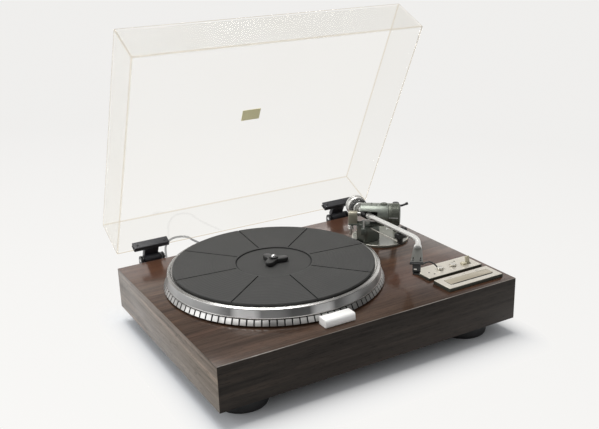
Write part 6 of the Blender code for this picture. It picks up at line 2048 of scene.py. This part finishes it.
@dataclass
class Studio:
    """The plain floor, the soft light and the camera."""

    azimuth: float = 29.42
    elevation: float = 19.12
    roll: float = -1.82
    lens: float = 50.65
    sensor: float = 36.0
    eye: Point = (-0.5815, -1.0412, 0.5831)
    backdrop: Colour = (0.868, 0.86, 0.846)
    # The floor's glow colour near the left: a painted pool of light.
    painted_light_near_left: Colour = (0.955, 0.947, 0.93)
    shadow_half: Flat = (0.2375, 0.182)

    def camera(self) -> None:
        """Place the camera where the picture was taken from."""
        side, up_angle, roll = (math.radians(value) for value in (self.azimuth, self.elevation, self.roll))
        forward = Vector((math.sin(side) * math.cos(up_angle), math.cos(side) * math.cos(up_angle),
                          -math.sin(up_angle)))
        right = Vector((math.cos(side), -math.sin(side), 0))
        up = right.cross(forward)
        axes = (right * math.cos(roll) + up * math.sin(roll), up * math.cos(roll) - right * math.sin(roll),
                -forward)
        data = bpy.data.cameras.new("camera")
        data.lens, data.sensor_width = self.lens, self.sensor
        data.sensor_fit, data.clip_start = "HORIZONTAL", 0.01
        camera = linked("camera", data)
        camera.matrix_world = Matrix.Translation(self.eye) @ Matrix(axes).transposed().to_4x4()
        bpy.context.scene.camera = camera

    def lights(self) -> None:
        """Large soft lamps: one behind and above, one at the left and a weak one in front."""
        for name, place, target, size, power in (
                ("top_light", (-0.25, 0.38, 2.05), (0.0, 0.0, 0.0), 1.2, 26.0),
                ("left_light", (-2.0, 0.5, 1.1), (0.0, 0.0, 0.05), 1.6, 16.0),
                ("front_light", (0.5, -1.9, 1.4), (0.0, 0.0, 0.1), 1.2, 2.2)):
            data = bpy.data.lights.new(name, "AREA")
            data.shape, data.size, data.energy = "SQUARE", size, power
            aim = (Vector(target) - Vector(place)).to_track_quat("-Z", "Y").to_matrix().to_4x4()
            linked(name, data).matrix_world = Matrix.Translation(place) @ aim

    @staticmethod
    def seen(nodes: Nodes) -> tuple[Socket, Socket]:
        """How a ray has come.

        Args:
            nodes: the material's writer.

        Returns:
            Whether it is seen directly or through glass, and whether it comes from a gloss.
        """
        path = nodes.add("LightPath").outputs
        straight = nodes.math("MAXIMUM", path["Is Camera Ray"], path["Is Transmission Ray"])
        return straight, nodes.times(path["Is Glossy Ray"], nodes.math("SUBTRACT", 1.0, straight))

    def world(self) -> None:
        """A pale surround: even to the eye, and brighter above and behind in reflections and as light."""
        world = bpy.data.worlds.new("surround")
        world.use_nodes = True
        bpy.context.scene.world = world
        nodes = Nodes(world.node_tree)
        nodes.tree.nodes.clear()
        straight, glossy = self.seen(nodes)
        direction = nodes.add("TexCoord").outputs["Generated"]
        _, back, up = nodes.split(direction)
        behind = nodes.span(back, -0.15, 0.45, 0.12, 1.0)
        room = nodes.math("MAXIMUM", behind, nodes.span(up, 0.15, 0.6, 0.12, 1.0))
        flat = nodes.vector("MULTIPLY", direction, (1.0, 1.0, 0.3))
        bands = nodes.span(nodes.noise(flat, 2.6, 2.0), 0.36, 0.62, 0.58, 1.08)
        light = nodes.times(nodes.math("MAXIMUM", room, 0.5), 0.56)
        paper = nodes.times(behind, nodes.span(up, 0.385, 0.47, 1.15, 0.55))
        ceiling = nodes.span(up, 0.6, 0.9, 0.12, 1.0)
        shine = nodes.times(nodes.times(nodes.math("MAXIMUM", paper, ceiling), bands), glossy)
        matt = nodes.math("SUBTRACT", nodes.math("SUBTRACT", 1.0, straight), glossy)
        strength = nodes.math("ADD", nodes.math("ADD", straight, shine), nodes.times(light, matt))
        surround = nodes.add("Background", {"Color": nodes.mix(straight, (1.0, 0.985, 0.965), self.backdrop),
                                            "Strength": strength})
        nodes.add("OutputWorld", {"Surface": surround.outputs[0]})

    def floor(self) -> None:
        """The pale floor, which keeps the object's shadow and fades into the backdrop further out, with a
        painted pool of light towards the left and a blue tint that paints the shadow's colour.
        """
        clear()
        bpy.ops.mesh.primitive_plane_add(size=14, location=(0, 0, 0))
        floor = bpy.context.object
        floor.name = "floor"
        material = bpy.data.materials.new("paper")
        material.use_nodes = True
        nodes = Nodes(material.node_tree)
        nodes.tree.nodes.clear()
        # The blue tint of the matt floor paints the bluish colour of the shadow near the case.
        matt = nodes.add("BsdfDiffuse", {"Color": (0.74, 0.765, 0.8)})
        # The glow is brighter towards the left: a painted pool of light.
        span = nodes.vector("DISTANCE", nodes.place(), (-0.9, -0.4, 0.0))
        glow = nodes.add("Emission",
                         {"Color": nodes.mix(nodes.span(span, 0.3, 2.2), self.painted_light_near_left, self.backdrop)})
        straight, glossy = self.seen(nodes)
        half_x, half_y = self.shadow_half
        across, back, _ = nodes.split(nodes.place())
        past = []
        for part, middle, half, weight in ((across, 0.0, half_x, 1.8), (back, FRONT_Y + half_y, half_y, 1.0)):
            offset = nodes.math("ABSOLUTE", nodes.math("SUBTRACT", part, middle))
            beyond = nodes.times(nodes.math("MAXIMUM", nodes.math("SUBTRACT", offset, half), 0.0), weight)
            past.append(nodes.times(beyond, beyond))
        distance = nodes.math("SQRT", nodes.math("ADD", *past))
        fade = nodes.math("POWER", nodes.span(distance, 0.001, 0.07), 0.55)
        blend = nodes.add("MixShader", {"Fac": nodes.times(fade, nodes.math("MAXIMUM", straight, glossy)),
                                        1: matt.outputs[0], 2: glow.outputs[0]})
        nodes.add("OutputMaterial", {"Surface": blend.outputs[0]})
        floor.data.materials.append(material)

    def build(self) -> None:
        """Set up the camera, the light, the surround and the floor."""
        self.camera()
        self.lights()
        self.world()
        self.floor()
        bpy.context.scene.view_settings.view_transform = "Standard"


def main() -> None:
    """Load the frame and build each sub-assembly in order."""
    logging.basicConfig(level=logging.INFO, format="%(name)s: %(message)s")
    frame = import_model()
    Studio().build()
    lid_centre = tuple(Lid.opened() @ Vector(Lid.centre()))
    finishes = Finishes(Effects(), lid_centre, Lid.half())
    for assembly in (Cord, Plinth, Platter, Controls, ArmBase, ArmHead, ArmTube, Lid):
        assembly(frame["nodes"], finishes).build()


if __name__ == "__main__":
    main()
